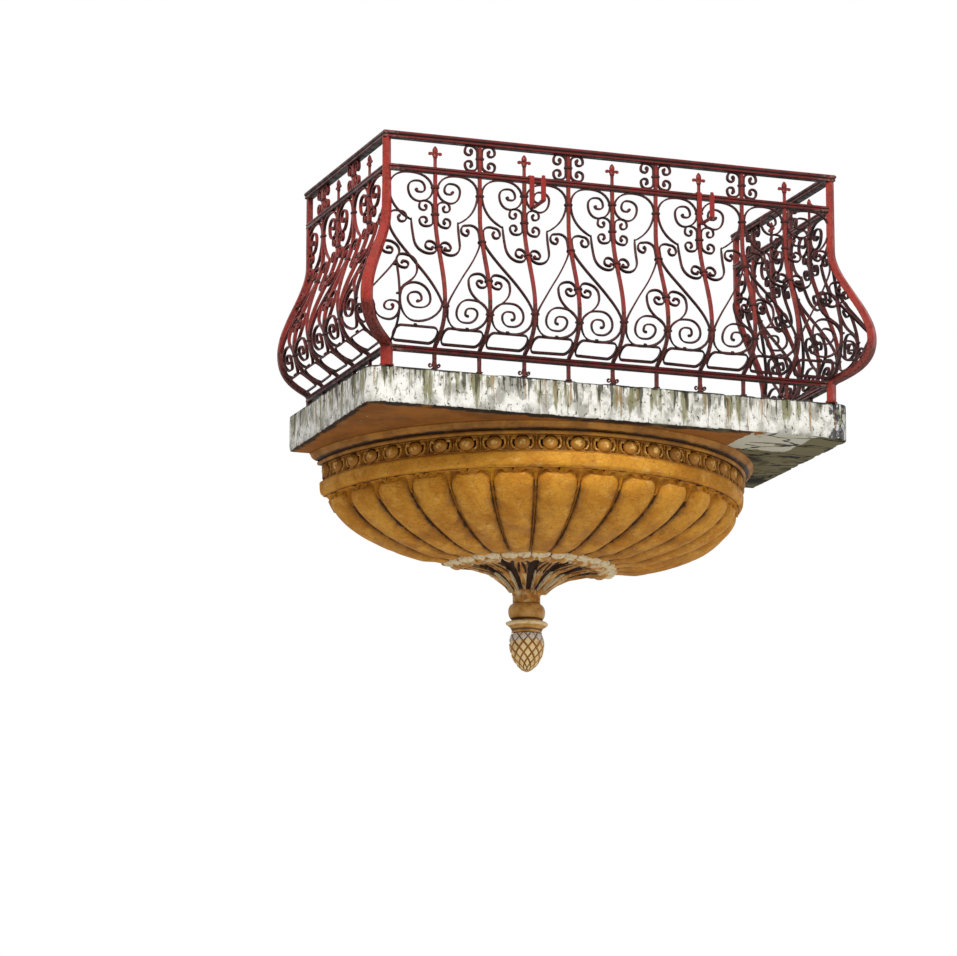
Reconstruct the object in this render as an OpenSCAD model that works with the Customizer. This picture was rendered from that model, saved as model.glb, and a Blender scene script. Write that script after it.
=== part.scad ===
// Wrought iron balcony with a belly, on a stone slab and a gadrooned half-round bowl corbel.
// Frame: origin on the flat back of the slab, at its middle; +Y into the wall, +X to the right, +Z up.

/* [Balcony] */
// Width between the corner posts
front_w = 2000; // [1600:10:2600]
// Distance from the wall to the front railing
reach = 1030; // [800:10:1300]
// Height of the railing over the slab
rail_h = 1000; // [900:10:1150]
// Number of bays along the front, an even number
front_bays = 10; // [6:2:14]
// Number of bays along each side, an odd number
side_bays = 5; // [3:2:7]
// How much wider a bay is where it stands beside a corner post
corner_gap = 15; // [0:1:30]

/* [Rails and bars] */
// Height of the top rail
top_h = 32; // [24:1:44]
// Width of the top rail, across the railing
top_w = 44; // [30:1:60]
// Height of the second rail and of the bottom rail
mid_h = 28; // [20:1:36]
// Width of the second rail and of the bottom rail
mid_w = 26; // [20:1:36]
// Drop from the top of the railing to the top of the second rail
frieze_drop = 140; // [120:1:180]
// Gap between the bottom rail and the slab
foot_gap = 66; // [40:1:90]
// Side of the square bars
bar_w = 15; // [12:0.5:20]
// Side of the square corner and wall posts
post_w = 28; // [20:1:36]
// Width of the corner posts across the diagonal where the belly is fullest
post_full = 46; // [36:1:60]

/* [Belly] */
// How far the belly stands out from the top rail
belly_out = 127; // [60:1:150]
// Drop from the top of the railing to the fullest part of the belly
belly_drop = 736; // [700:1:790]
// Drop at which the bars begin to curve out
belly_start = 335; // [250:1:420]
// How far the bottom rail stands back from the top rail
rail_in = 5; // [0:1:60]

/* [Scrolls] */
// Thickness of the scroll strip, seen from the front
strip_w = 5; // [3:0.5:8]
// Depth of the scroll strip, across the railing
strip_d = 14; // [8:0.5:18]
// Height of a collar
collar_h = 9; // [6:1:14]
// How far a collar stands out around what it ties
collar_lip = 4; // [1:0.5:6]

/* [Flower box hooks] */
// Place of the left hook, from the middle of the front
hook_left = -365; // [-550:5:-100]
// Place of the right hook, from the middle of the front
hook_right = 391; // [100:1:550]
// Width of a hook's strap
hook_w = 22; // [16:1:30]
// Thickness of a hook's strap
hook_t = 4; // [3:0.5:6]
// How far a hook reaches out in front of the rail
hook_reach = 150; // [100:5:200]
// How far a hook hangs below the top of the second rail
hook_drop = 145; // [110:5:200]
// Height of a hook's front upright
hook_lip = 112; // [60:2:140]

/* [Slab] */
// Thickness of the slab
slab_t = 155; // [110:5:200]
// How far the slab reaches past the corner posts, to each side
slab_side = 80; // [50:5:150]
// How far the slab reaches past the front railing
slab_front = 10; // [0:5:120]
// Radius of the slab's front corners
slab_r = 70; // [20:5:120]

/* [Bowl corbel] */
// Radius of the bowl at its egg band
bowl_r = 930; // [700:10:960]
// Height of the cove under the slab
cove_h = 50; // [40:1:80]
// How far the cove spreads out to the slab
cove_out = 58; // [30:1:70]
// Height of the egg band
egg_band_h = 66; // [56:1:80]
// Radius of one egg
egg_r = 23; // [16:0.5:26]
// Number of eggs around the half round
eggs = 25; // [15:2:29]
// Height of the plain fascia
fascia_h = 70; // [40:1:90]
// How far the fascia stands out from the egg band
fascia_out = 6; // [6:1:30]
// Height of the gadrooned bowl
bowl_h = 256; // [180:2:360]
// Number of gadroons around the half round
gadroons = 15; // [9:2:19]
// Height of a gadroon over the grooves beside it
gadroon_rise = 30; // [10:1:45]
// Radius of the leaf cup's rim
cup_r = 364; // [280:2:420]
// Height of the leaf cup
cup_h = 150; // [100:5:220]
// Number of leaves around the half round of the leaf cup
leaves = 7; // [5:2:11]
// How far a leaf's tip reaches out past the notches beside it
leaf_reach = 34; // [10:1:50]
// Radius of the neck under the leaf cup
neck_r = 62; // [40:1:80]
// Height of the neck with its ring
neck_h = 130; // [110:1:160]
// Radius of the ring at the neck's foot
ring_r = 94; // [80:1:120]
// Radius of the pine cone
cone_r = 81; // [60:1:90]
// Height of the pine cone
cone_h = 170; // [150:5:240]

/* [Hidden] */
$fn = 48;

deck = slab_t / 2;
front_pitch = (front_w - 2 * corner_gap) / front_bays;
side_pitch = (reach - corner_gap) / side_bays;
rail_drop = rail_h - foot_gap - mid_h / 2;
belly_rise = belly_drop - belly_start;
belly_foot = rail_drop - mid_h / 2;
belly_return = belly_foot - belly_drop;
frieze_mid = (top_h + frieze_drop) / 2;
panel_top = frieze_drop + mid_h;
panel_h = rail_drop - mid_h / 2 - panel_top;
half_w = front_w / 2;
iron_red = [0.36, 0.06, 0.06];
hook_red = [0.55, 0.09, 0.07];
stone_white = [0.84, 0.83, 0.78];
ochre = [0.72, 0.45, 0.12];

// Curves
function bezier(a, b, c, d, n) = [for (i = [1:n]) let (t = i / n, s = 1 - t)
    s * s * s * a + 3 * s * s * t * b + 3 * s * t * t * c + t * t * t * d];

// A volute from its quarter radii: quarter k lies at angle start + 90 * k * turn
function quarter_radius(radii, q) = let (i = min(floor(q), len(radii) - 2), f = q - i)
    radii[i] + (radii[i + 1] - radii[i]) * (1 - cos(180 * f)) / 2;
function steps(r) = r > 60 ? 5 : r > 14 ? 3 : 2;
function volute(centre, radii, start, turn) = [for (k = [0:len(radii) - 2])
    let (n = steps(max(radii[k], radii[k + 1])))
        for (i = [1:n]) let (q = k + i / n, a = start + 90 * q * turn)
            centre + quarter_radius(radii, q) * [cos(a), sin(a)]];

// A strip of even thickness along a path
function unit(v) = v / norm(v);
function side_of(path, i) = let (n = len(path) - 1,
    d = unit(path[min(i + 1, n)] - path[max(i - 1, 0)])) [-d[1], d[0]];
function strip(path, w) = concat(
    [for (i = [0:len(path) - 1]) path[i] + side_of(path, i) * w / 2],
    [for (i = [len(path) - 1:-1:0]) path[i] - side_of(path, i) * w / 2]);

// The belly's profile: points [out, drop] from the top of the railing down to the slab, in so many
// steps down to its fullest part and so many back under it. Its foot bends upright over the bottom rail.
foot_bend = 14;
function belly(down_steps, back_steps) = concat(
    [[0, 0], [0, belly_start]],
    bezier([0, belly_start], [0, belly_start + belly_rise * 0.32],
        [belly_out, belly_drop - belly_rise * 0.33], [belly_out, belly_drop], down_steps),
    bezier([belly_out, belly_drop], [belly_out, belly_drop + belly_return * 0.56],
        [-rail_in + (belly_out + rail_in) * 0.62, belly_foot - belly_return * 0.24],
        [-rail_in + foot_bend, belly_foot - foot_bend / 2], back_steps),
    [[-rail_in, belly_foot + foot_bend], [-rail_in, rail_h]]);
profile = belly(6, 5);
fine_profile = belly(10, 8);
function out_at(drop) = lookup(drop, [for (p = fine_profile) [p[1], p[0]]]);
function band(points, w, widen = 1) = strip([for (p = points) [p[0] * widen, p[1]]], w);

// Maps a pattern drawn as [along, drop] into the railing's plane, standing up
module stand_up(depth) {
    rotate([90, 0, 0]) linear_extrude(depth, center = true) mirror([0, 1, 0]) children();
}

// Pieces drawn as [along, drop], laid on the belly from x = from to x = to
module on_belly(from, to) {
    intersection() {
        translate([0, -belly_out / 2, 0]) stand_up(3 * belly_out) children();
        translate([from, 0, 0]) rotate([90, 0, 90]) linear_extrude(to - from)
            mirror([1, 0, 0]) mirror([0, 1, 0]) polygon(band(profile, strip_d));
    }
}

// The scroll pattern is drawn on a sheet of one bay, sheet_w by sheet_h, whose corner is the axis of the
// bar with the finial at the underside of the second rail. It is then stretched to the bay, so that it
// touches both bars.
sheet_w = 200;
sheet_h = 736;
edge = 9.5;
grip = 0.5;
touch = (bar_w + strip_w) / 2 - grip;
function along(u, pitch) = touch + (u - edge) * (pitch - 2 * touch) / (sheet_w - 2 * edge);
function down(v) = panel_top + v * panel_h / sheet_h;
function fitted(path, pitch) = [for (p = path) [along(p[0], pitch), down(p[1])]];

// Large scroll: from the middle of the bay up the full bar, over under the rail and down into a volute
big_eye = [68, 67];
large_path = concat(
    [[100, 205]],
    bezier([100, 205], [132, 189], [sheet_w - edge, 149], [sheet_w - edge, 69], 6),
    volute([100, 69], [100 - edge, 67, 100 - edge], 0, -1),
    volute(big_eye, [big_eye[0] - edge, 55, 44, 31, 26, 15, 9], 180, -1));

// J scroll: from the large scroll's foot straight down and round to the finial bar
j_eye = [34, 324];
j_path = concat(
    [[100, 199], [98, 295]],
    bezier([98, 295], [97, 372], [edge, 375], [edge, 325], 6),
    volute(j_eye, [j_eye[0] - edge, 25, 21, 12, 5], 180, 1));

// S scroll: a volute beside the full bar, a long diagonal to the finial bar and a large volute low down.
// In the bays at the corners it sits a little higher, clear of the corner post's bend.
s_radii = [7, 12, 18, 21, 27];
function s_shape(eye, low, low_radii) = concat(
    volute(eye, concat(s_radii, [sheet_w - edge - eye[0]]), -90, 1),
    [[sheet_w - edge, eye[1] + 44]],
    bezier([sheet_w - edge, eye[1] + 44], [sheet_w - 16, eye[1] + 109], [20, 527], [edge, 592], 7),
    volute(low, concat([low[0] - edge], low_radii), 180, -1));
s_path = s_shape([134, 238], [107, 615], [62, 84, 58, 56, 36, 38, 22, 16, 8]);
corner_s_path = s_shape([141, 199], [118, 571], [88, 67, 70, 57, 37, 36, 28, 21, 8]);

// Heart scroll: half of the heart on a full bar, drawn from that bar; at a corner it stands on a thin upright
heart_eye = [38, 479];
corner_upright = 15;
corner_lift = 63;
heart_path = concat(
    [[edge, 610]],
    bezier([edge, 610], [edge + 2, 567], [91, 562], [91, 489], 6),
    volute(heart_eye, [53, 44, heart_eye[0] - edge, 21, 18, 10, 5], 0, -1));
corner_heart_path = [for (p = heart_path) [p[0] + corner_upright - edge, p[1] - corner_lift]];

// Filler between the thin upright and the bend of the corner post, as [outward from the corner, down]
filler_out = 117;
filler_path = concat(
    volute([8, 354], [6, 9, 13, 19, 29, 41, 41], 0, -1),
    bezier([-33, 354], [-33, 390], [20, 450], [filler_out - 12, 547], 6),
    bezier([filler_out - 12, 547], [filler_out - 4, 570], [92, 590], [87, 610], 3),
    volute([21, 610], [66, 52, 36, 23, 26, 14, 9, 5], 0, 1));
function corner_fitted(path) = [for (p = path) [-p[0] * belly_out / filler_out, down(p[1])]];

// C scroll: its back on the bar at a given drop, its two volutes a given distance above and below
c_eye = 46;
c_radii = [c_eye - edge, 26, 20, 15, 9, 5];
function reversed(list) = [for (i = [len(list) - 1:-1:0]) list[i]];
function c_path(mid, half) = concat(
    reversed([for (p = volute([c_eye, -half], c_radii, 180, 1)) [p[0], mid + p[1]]]),
    [[edge, mid - half], [edge, mid + half]],
    [for (p = volute([c_eye, half], c_radii, 180, -1)) [p[0], mid + p[1]]]);

// Oval ring between two bars, its lower edge on the bottom rail
oval_top = 674;
oval_bottom = 728;
oval_r = 25;
function oval_path(inset) = let (r = oval_r - inset, a = edge + oval_r, b = sheet_w - edge - oval_r,
    t = oval_top + oval_r, u = oval_bottom - oval_r) concat(
    [for (i = [0:4]) [b, t] + r * [cos(-90 + 22.5 * i), sin(-90 + 22.5 * i)]],
    [for (i = [0:4]) [b, u] + r * [cos(22.5 * i), sin(22.5 * i)]],
    [for (i = [0:4]) [a, u] + r * [cos(90 + 22.5 * i), sin(90 + 22.5 * i)]],
    [for (i = [0:4]) [a, t] + r * [cos(180 + 22.5 * i), sin(180 + 22.5 * i)]]);

// A bay runs from a finial bar at 0 towards a full bar or a corner post. Every second bay is turned round.
function bar_at(i, pitch) = i * pitch + (i > 0 ? corner_gap : 0);
module bays(pitch, first, count) {
    for (i = [0:count - 1]) translate([first + bar_at(i, pitch), 0, 0]) {
        $at_corner = i == 0 || (i == count - 1 && count % 2 == 0);
        $bay = pitch + ($at_corner ? corner_gap : 0);
        if ((i + 1) % 2 == 0) children();
        else translate([$bay, 0, 0]) mirror([1, 0, 0]) children();
    }
}

module large_scrolls(pitch, first, count) {
    bays(pitch, first, count) on_belly(0, $bay) {
        polygon(strip(fitted(large_path, $bay), strip_w));
        polygon(strip(fitted(j_path, $bay), strip_w));
    }
}

module s_scrolls(pitch, first, count) {
    bays(pitch, first, count) on_belly(0, $bay)
        polygon(strip(fitted($at_corner ? corner_s_path : s_path, $bay), strip_w));
}

module heart_scrolls(pitch, first, count) {
    bays(pitch, first, count) translate([$bay, 0, 0]) mirror([1, 0, 0]) on_belly(0, $bay)
        polygon(strip(fitted($at_corner ? corner_heart_path : heart_path, $bay), strip_w));
}

c_drop = 174;
c_half_h = 30;
module small_scrolls(pitch, first, count) {
    frieze_half = (frieze_drop - top_h) / 2 - c_radii[1];
    bays(pitch, first, count) on_belly(0, $bay)
        polygon(strip(fitted(c_path(c_drop, c_half_h), $bay), strip_w));
    for (i = [2:2:count - 1], m = [0, 1]) translate([first + bar_at(i, pitch), 0, 0]) mirror([m, 0, 0])
        stand_up(strip_d) polygon(strip(c_path(frieze_mid, frieze_half), strip_w));
}

module ovals(pitch, first, count) {
    bays(pitch, first, count) on_belly(0, $bay) difference() {
        polygon(fitted(oval_path(0), $bay));
        polygon(fitted(oval_path(strip_w), $bay));
    }
}

// Bars follow the belly; those with a finial end over the second rail
module bar(w) {
    translate([-w / 2, 0, 0]) rotate([90, 0, 90]) linear_extrude(w)
        mirror([1, 0, 0]) mirror([0, 1, 0]) polygon(band(fine_profile, w));
}

// Half of the finial's outline, from its tip down into the second rail: [half width, drop below the tip]
finial_h = 98;
finial_root = 4;
finial_half = [[0, 0], [6, 7], [11, 17], [9, 28], [14, 24], [21, 18], [28, 22], [31, 31], [26, 38],
    [19, 33], [11, 39], [8, 46], [8, finial_h + finial_root]];
finial_t = 10;
module finial() {
    top = frieze_drop - finial_h;
    stand_up(finial_t) translate([0, top]) polygon(concat(finial_half,
        [for (i = [len(finial_half) - 1:-1:1]) [-finial_half[i][0], finial_half[i][1]]]));
}

module bars(pitch, first, count) {
    for (i = [1:count - 1]) translate([first + bar_at(i, pitch), 0, 0])
        if (i % 2 == 1) {
            difference() {
                bar(bar_w);
                translate([-bar_w, -bar_w, -frieze_drop - 1]) cube([2 * bar_w, 2 * bar_w, frieze_drop + 2]);
            }
            finial();
        }
        else bar(bar_w);
}

// Collars tie the scrolls to their bar; drops on the sheet
finial_bar_ties = [59, 174, 326, 592];
full_bar_ties = [78, 282, 466, 611];
module collar(drop, w) {
    d = bar_w + 2 * collar_lip;
    translate([0, -out_at(drop), -drop]) cube([w, d, collar_h], center = true);
}

module collars(pitch, first, count) {
    tied = bar_w + 2 * strip_w + 2 * collar_lip;
    for (i = [1:count - 1]) translate([first + bar_at(i, pitch), 0, 0]) {
        for (v = i % 2 == 1 ? finial_bar_ties : full_bar_ties) collar(down(v), tied);
        if (i % 2 == 0) collar(frieze_mid, tied);
    }
}

// Fillers of one corner of a panel, seen with the corner at x = 0 and the panel at x > 0
module corner_filler() {
    on_belly(-belly_out, 2 * corner_upright + 40) {
        polygon(strip(corner_fitted(filler_path), strip_w));
        translate([corner_upright - strip_w / 2, down(405)]) square([strip_w, rail_drop - down(405)]);
    }
}

// A rail along x, its top at a given drop: a moulded cap over a narrower bar
module rail(run, w, h, drop) {
    lip = 4;
    cap_w = w / 2;
    bar_half = cap_w - lip;
    cap_h = h / 2;
    rotate([90, 0, 90]) linear_extrude(run) translate([0, -drop]) polygon([
        [-bar_half, 0], [bar_half, 0], [cap_w, -lip], [cap_w, -cap_h], [bar_half, -cap_h - lip / 2],
        [bar_half, -h], [-bar_half, -h], [-bar_half, -cap_h - lip / 2], [-cap_w, -cap_h], [-cap_w, -lip]]);
}

// Places of the three sides: the pattern runs along x from the left corner or from a corner to the wall
module at_front() {
    translate([0, -reach, deck + rail_h]) children();
}

module at_left() {
    translate([-half_w, -reach, deck + rail_h]) rotate([0, 0, 90]) mirror([0, 1, 0]) children();
}

module at_right() {
    mirror([1, 0, 0]) at_left() children();
}

// The corner posts stand on the diagonal, and are forged wider across it towards the belly
post_widths = [[0, post_w], [0.23 * belly_drop, post_w + 1],
    [0.4 * belly_drop, 0.7 * post_w + 0.3 * post_full],
    [0.67 * belly_drop, 0.45 * post_w + 0.55 * post_full],
    [0.96 * belly_drop, post_full], [rail_h, post_full]];
module corner_post() {
    translate([-half_w, -reach, deck + rail_h]) rotate([0, 0, -45]) intersection() {
        translate([-post_full / 2, 0, 0]) rotate([90, 0, 90]) linear_extrude(post_full)
            mirror([1, 0, 0]) mirror([0, 1, 0]) polygon(band(fine_profile, post_w, sqrt(2)));
        translate([0, -belly_out / 2, 0]) stand_up(4 * belly_out) polygon(concat(
            [for (p = post_widths) [p[1] / 2, p[0]]], reversed([for (p = post_widths) [-p[1] / 2, p[0]]])));
    }
}

module wall_post() {
    translate([-half_w, -post_w / 2, deck + rail_h]) rotate([0, 0, -90]) bar(post_w);
}

module corner_post_left() color(iron_red) corner_post();
module corner_post_right() color(iron_red) mirror([1, 0, 0]) corner_post();
module wall_post_left() color(iron_red) wall_post();
module wall_post_right() color(iron_red) mirror([1, 0, 0]) wall_post();

module top_rail_front() color(iron_red) at_front()
    translate([-half_w - top_w / 2, 0, 0]) rail(front_w + top_w, top_w, top_h, 0);
module top_rail_side() at_left() translate([top_w / 2, 0, 0]) rail(reach - top_w / 2, top_w, top_h, 0);
module top_rail_left() color(iron_red) top_rail_side();
module top_rail_right() color(iron_red) mirror([1, 0, 0]) top_rail_side();

module second_rail_front() color(iron_red) at_front()
    translate([-half_w + post_w / 2, 0, 0]) rail(front_w - post_w, mid_w, mid_h, frieze_drop);
module second_rail_side() at_left() translate([post_w / 2, 0, 0])
    rail(reach - post_w / 2, mid_w, mid_h, frieze_drop);
module second_rail_left() color(iron_red) second_rail_side();
module second_rail_right() color(iron_red) mirror([1, 0, 0]) second_rail_side();

module bottom_rail_front() color(iron_red) at_front()
    translate([-half_w + rail_in + post_w / 2, rail_in, 0])
        rail(front_w - 2 * rail_in - post_w, mid_w, mid_h, rail_drop - mid_h / 2);
module bottom_rail_side() at_left() translate([rail_in + post_w / 2, rail_in, 0])
    rail(reach - rail_in - post_w / 2, mid_w, mid_h, rail_drop - mid_h / 2);
module bottom_rail_left() color(iron_red) bottom_rail_side();
module bottom_rail_right() color(iron_red) mirror([1, 0, 0]) bottom_rail_side();

module bars_front() color(iron_red) at_front() bars(front_pitch, -half_w, front_bays);
module bars_left() color(iron_red) at_left() bars(side_pitch, 0, side_bays);
module bars_right() color(iron_red) at_right() bars(side_pitch, 0, side_bays);

module large_scrolls_front() color(iron_red) at_front() large_scrolls(front_pitch, -half_w, front_bays);
module large_scrolls_left() color(iron_red) at_left() large_scrolls(side_pitch, 0, side_bays);
module large_scrolls_right() color(iron_red) at_right() large_scrolls(side_pitch, 0, side_bays);

module s_scrolls_front() color(iron_red) at_front() s_scrolls(front_pitch, -half_w, front_bays);
module s_scrolls_left() color(iron_red) at_left() s_scrolls(side_pitch, 0, side_bays);
module s_scrolls_right() color(iron_red) at_right() s_scrolls(side_pitch, 0, side_bays);

module heart_scrolls_front() color(iron_red) at_front() heart_scrolls(front_pitch, -half_w, front_bays);
module heart_scrolls_left() color(iron_red) at_left() heart_scrolls(side_pitch, 0, side_bays);
module heart_scrolls_right() color(iron_red) at_right() heart_scrolls(side_pitch, 0, side_bays);

module small_scrolls_front() color(iron_red) at_front() small_scrolls(front_pitch, -half_w, front_bays);
module small_scrolls_left() color(iron_red) at_left() small_scrolls(side_pitch, 0, side_bays);
module small_scrolls_right() color(iron_red) at_right() small_scrolls(side_pitch, 0, side_bays);

module ovals_front() color(iron_red) at_front() ovals(front_pitch, -half_w, front_bays);
module ovals_left() color(iron_red) at_left() ovals(side_pitch, 0, side_bays);
module ovals_right() color(iron_red) at_right() ovals(side_pitch, 0, side_bays);

module corner_scrolls() color(iron_red) {
    for (m = [0, 1]) mirror([m, 0, 0]) {
        at_front() translate([-half_w, 0, 0]) corner_filler();
        at_left() corner_filler();
    }
}

module collars_front() color(iron_red) at_front() collars(front_pitch, -half_w, front_bays);
module collars_left() color(iron_red) at_left() collars(side_pitch, 0, side_bays);
module collars_right() color(iron_red) at_right() collars(side_pitch, 0, side_bays);

// A hook laps over the second rail, drops in front of it, reaches out and turns up
module hook() {
    face = mid_w / 2;
    translate([-hook_w / 2, -reach, deck + rail_h - frieze_drop]) rotate([90, 0, 90]) linear_extrude(hook_w)
        polygon([
            [face, -mid_h], [face + hook_t, -mid_h], [face + hook_t, hook_t], [-face - hook_t, hook_t],
            [-face - hook_t, hook_t - hook_drop], [-hook_reach, hook_t - hook_drop],
            [-hook_reach, hook_lip - hook_drop], [-hook_reach - hook_t, hook_lip - hook_drop],
            [-hook_reach - hook_t, -hook_drop], [-face, -hook_drop], [-face, 0], [face, 0]]);
}

module flower_box_hooks() color(hook_red) {
    translate([hook_left, 0, 0]) hook();
    translate([hook_right, 0, 0]) hook();
}

// Slab with rounded front corners
module slab() color(stone_white) {
    w = front_w + 2 * slab_side;
    d = reach + slab_front;
    translate([0, 0, -slab_t / 2]) linear_extrude(slab_t) union() {
        translate([-w / 2, -d + slab_r]) square([w, d - slab_r]);
        translate([-w / 2 + slab_r, -d]) square([w - 2 * slab_r, slab_r + 1]);
        for (s = [-1, 1]) translate([s * (w / 2 - slab_r), -d + slab_r]) circle(slab_r);
    }
}

// A half-round turned about z in front of the wall
module half_turn() {
    rotate([0, 0, 180]) rotate_extrude(angle = 180) children();
}

cove_z = -deck;
egg_z = cove_z - cove_h;
fascia_z = egg_z - egg_band_h;
bowl_z = fascia_z - fascia_h;
cup_z = bowl_z - bowl_h;
neck_z = cup_z - cup_h;
cone_z = neck_z - neck_h;

// Heights of the small fillets, and how far the beads and hollows stand from the bowl's radius
fillet = 6;
bead = 10;
cove_lip = bowl_r + 24;
fascia_foot = bowl_r - 4;

module cove() color(ochre) half_turn() polygon(concat(
    [[0, cove_z], [bowl_r + cove_out, cove_z]],
    bezier([bowl_r + cove_out, cove_z - fillet], [bowl_r + cove_out - fillet, cove_z - cove_h * 0.6],
        [cove_lip + fillet, egg_z + 2 * fillet], [cove_lip, egg_z + fillet], 6),
    [[cove_lip, egg_z], [0, egg_z]]));

module egg_band() color(ochre) half_turn() polygon([
    [0, egg_z], [bowl_r + fillet, egg_z], [bowl_r + fillet, egg_z - fillet],
    [bowl_r - bead, egg_z - 2 * fillet], [bowl_r - bead, fascia_z + 2 * fillet], [fascia_foot, fascia_z], [0, fascia_z]]);

module eggs_on_band() color(ochre) for (i = [0:eggs - 1])
    rotate([0, 0, -180 + (i + 0.5) * 180 / eggs])
        translate([bowl_r, 0, egg_z - egg_band_h / 2]) sphere(egg_r);

module fascia() color(ochre) half_turn() polygon(concat(
    [[0, fascia_z], [bowl_r, fascia_z]],
    bezier([bowl_r, fascia_z - fillet], [bowl_r + fascia_out, fascia_z - 2 * fillet],
        [bowl_r + fascia_out, bowl_z + 2 * fillet], [fascia_foot, bowl_z + fillet], 6),
    [[fascia_foot, bowl_z], [0, bowl_z]]));

// A half-round solid skinned over rows of [radius, height] points: columns run around, rows run down
function ring_points(rows, columns, t) = [for (c = [0:columns]) let (p = t[c][rows], a = -180 * c / columns)
    [p[0] * cos(a), c == 0 || c == columns ? 0 : p[0] * sin(a), p[1]]];
module skinned(grid, columns, rows) {
    wide = columns + 1;
    polyhedron(
        concat([for (r = [0:rows]) each ring_points(r, columns, grid)]),
        concat(
            [[for (c = [0:columns]) c], [for (c = [columns:-1:0]) rows * wide + c]],
            [concat([for (r = [0:rows]) r * wide + columns], [for (r = [rows:-1:0]) r * wide])],
            [for (r = [0:rows - 1], c = [0:columns - 1]) let (a = r * wide + c) each [
                [a, a + wide, a + wide + 1], [a, a + wide + 1, a + 1]]]));
}

// Gadroons: round lobes with fingertip tops that narrow towards the leaf cup
gadroon_top = bowl_r - 44;
gadroon_base = concat([[gadroon_top, bowl_z]],
    bezier([gadroon_top, bowl_z], [gadroon_top - 40, bowl_z - bowl_h * 0.58],
        [cup_r + 190, cup_z + bowl_h * 0.1], [cup_r - 24, cup_z], 11));
lobe_steps = 8;
tip_rows = 3;
function lobe(u, row) = let (v = abs(2 * u - 1), s = min(1, (row + 0.02) / tip_rows),
    w = sqrt(1 - (1 - s) * (1 - s)))
    v < w ? sqrt(1 - v * v / (w * w)) * (0.35 + 0.65 * w) : 0;
gadroon_grid = [for (c = [0:gadroons * lobe_steps]) let (u = c % lobe_steps / lobe_steps)
    [for (r = [0:len(gadroon_base) - 1]) let (b = gadroon_base[r])
        [b[0] + (r == 0 ? 0 : gadroon_rise * lobe(u, r) * (0.45 + 0.55 * b[0] / gadroon_top)), b[1]]]];
module gadrooned_bowl() color(ochre) skinned(gadroon_grid, gadroons * lobe_steps, len(gadroon_base) - 1);

// Leaf cup: a shallow cup of leaves with a lobed rim, on a round stem
leaf_steps = 8;
leaf_inner = cup_r - leaf_reach;
stem_top = cup_z - cup_h * 0.5;
leaf_base = concat([[leaf_inner, cup_z], [leaf_inner, cup_z - 2 * fillet]],
    bezier([leaf_inner, cup_z - 2 * fillet], [leaf_inner * 0.88, cup_z - cup_h * 0.4],
        [neck_r + 110, cup_z - cup_h * 0.42], [neck_r + 2 * fillet, stem_top], 6),
    [[neck_r, stem_top - 2 * fillet], [neck_r, neck_z]]);
leaf_grid = [for (c = [0:leaves * leaf_steps])
    let (u = c % leaf_steps / leaf_steps, tip = pow(sin(180 * u), 0.7))
    [for (r = [0:len(leaf_base) - 1])
        let (b = leaf_base[r], k = pow(max(0, 1 - r / (len(leaf_base) - 1)), 1.2))
        [b[0] + leaf_reach * tip * k, b[1] - (r == 0 ? 0 : 14 * tip * k)]]];
module leaf_cup() color(ochre) skinned(leaf_grid, leaves * leaf_steps, len(leaf_base) - 1);

// Neck: a bulb over a moulded ring
module neck() color(ochre) half_turn() polygon(concat(
    [[0, neck_z], [neck_r, neck_z]],
    bezier([neck_r, neck_z], [neck_r + 26, neck_z - neck_h * 0.12], [neck_r + 26, neck_z - neck_h * 0.48],
        [neck_r, neck_z - neck_h * 0.6], 6),
    [[ring_r, neck_z - neck_h * 0.64], [ring_r, neck_z - neck_h * 0.8]],
    bezier([ring_r, neck_z - neck_h * 0.8], [cone_r - 8, cone_z + neck_h * 0.14],
        [cone_r - 8, cone_z + neck_h * 0.07], [cone_r - 4, cone_z], 4),
    [[0, cone_z]]));

cone_top = cone_r - 14;
module pine_cone() color(ochre) half_turn() polygon(concat(
    [[0, cone_z], [cone_top, cone_z]],
    bezier([cone_top, cone_z], [cone_r * 1.16, cone_z - cone_h * 0.28],
        [cone_r * 0.86, cone_z - cone_h * 0.84], [0, cone_z - cone_h], 10)));

slab();
cove();
egg_band();
eggs_on_band();
fascia();
gadrooned_bowl();
leaf_cup();
neck();
pine_cone();
corner_post_left();
corner_post_right();
wall_post_left();
wall_post_right();
top_rail_front();
top_rail_left();
top_rail_right();
second_rail_front();
second_rail_left();
second_rail_right();
bottom_rail_front();
bottom_rail_left();
bottom_rail_right();
bars_front();
bars_left();
bars_right();
large_scrolls_front();
large_scrolls_left();
large_scrolls_right();
s_scrolls_front();
s_scrolls_left();
s_scrolls_right();
heart_scrolls_front();
heart_scrolls_left();
heart_scrolls_right();
small_scrolls_front();
small_scrolls_left();
small_scrolls_right();
ovals_front();
ovals_left();
ovals_right();
corner_scrolls();
collars_front();
collars_left();
collars_right();
flower_box_hooks();
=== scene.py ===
"""Dresses the CAD frame of a wrought iron balcony: a belly railing of scrollwork on a stone slab and a bowl corbel."""
import logging
import math
from dataclasses import dataclass, field, replace
from enum import Enum
from typing import Any, Callable, Optional, Sequence

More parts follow.
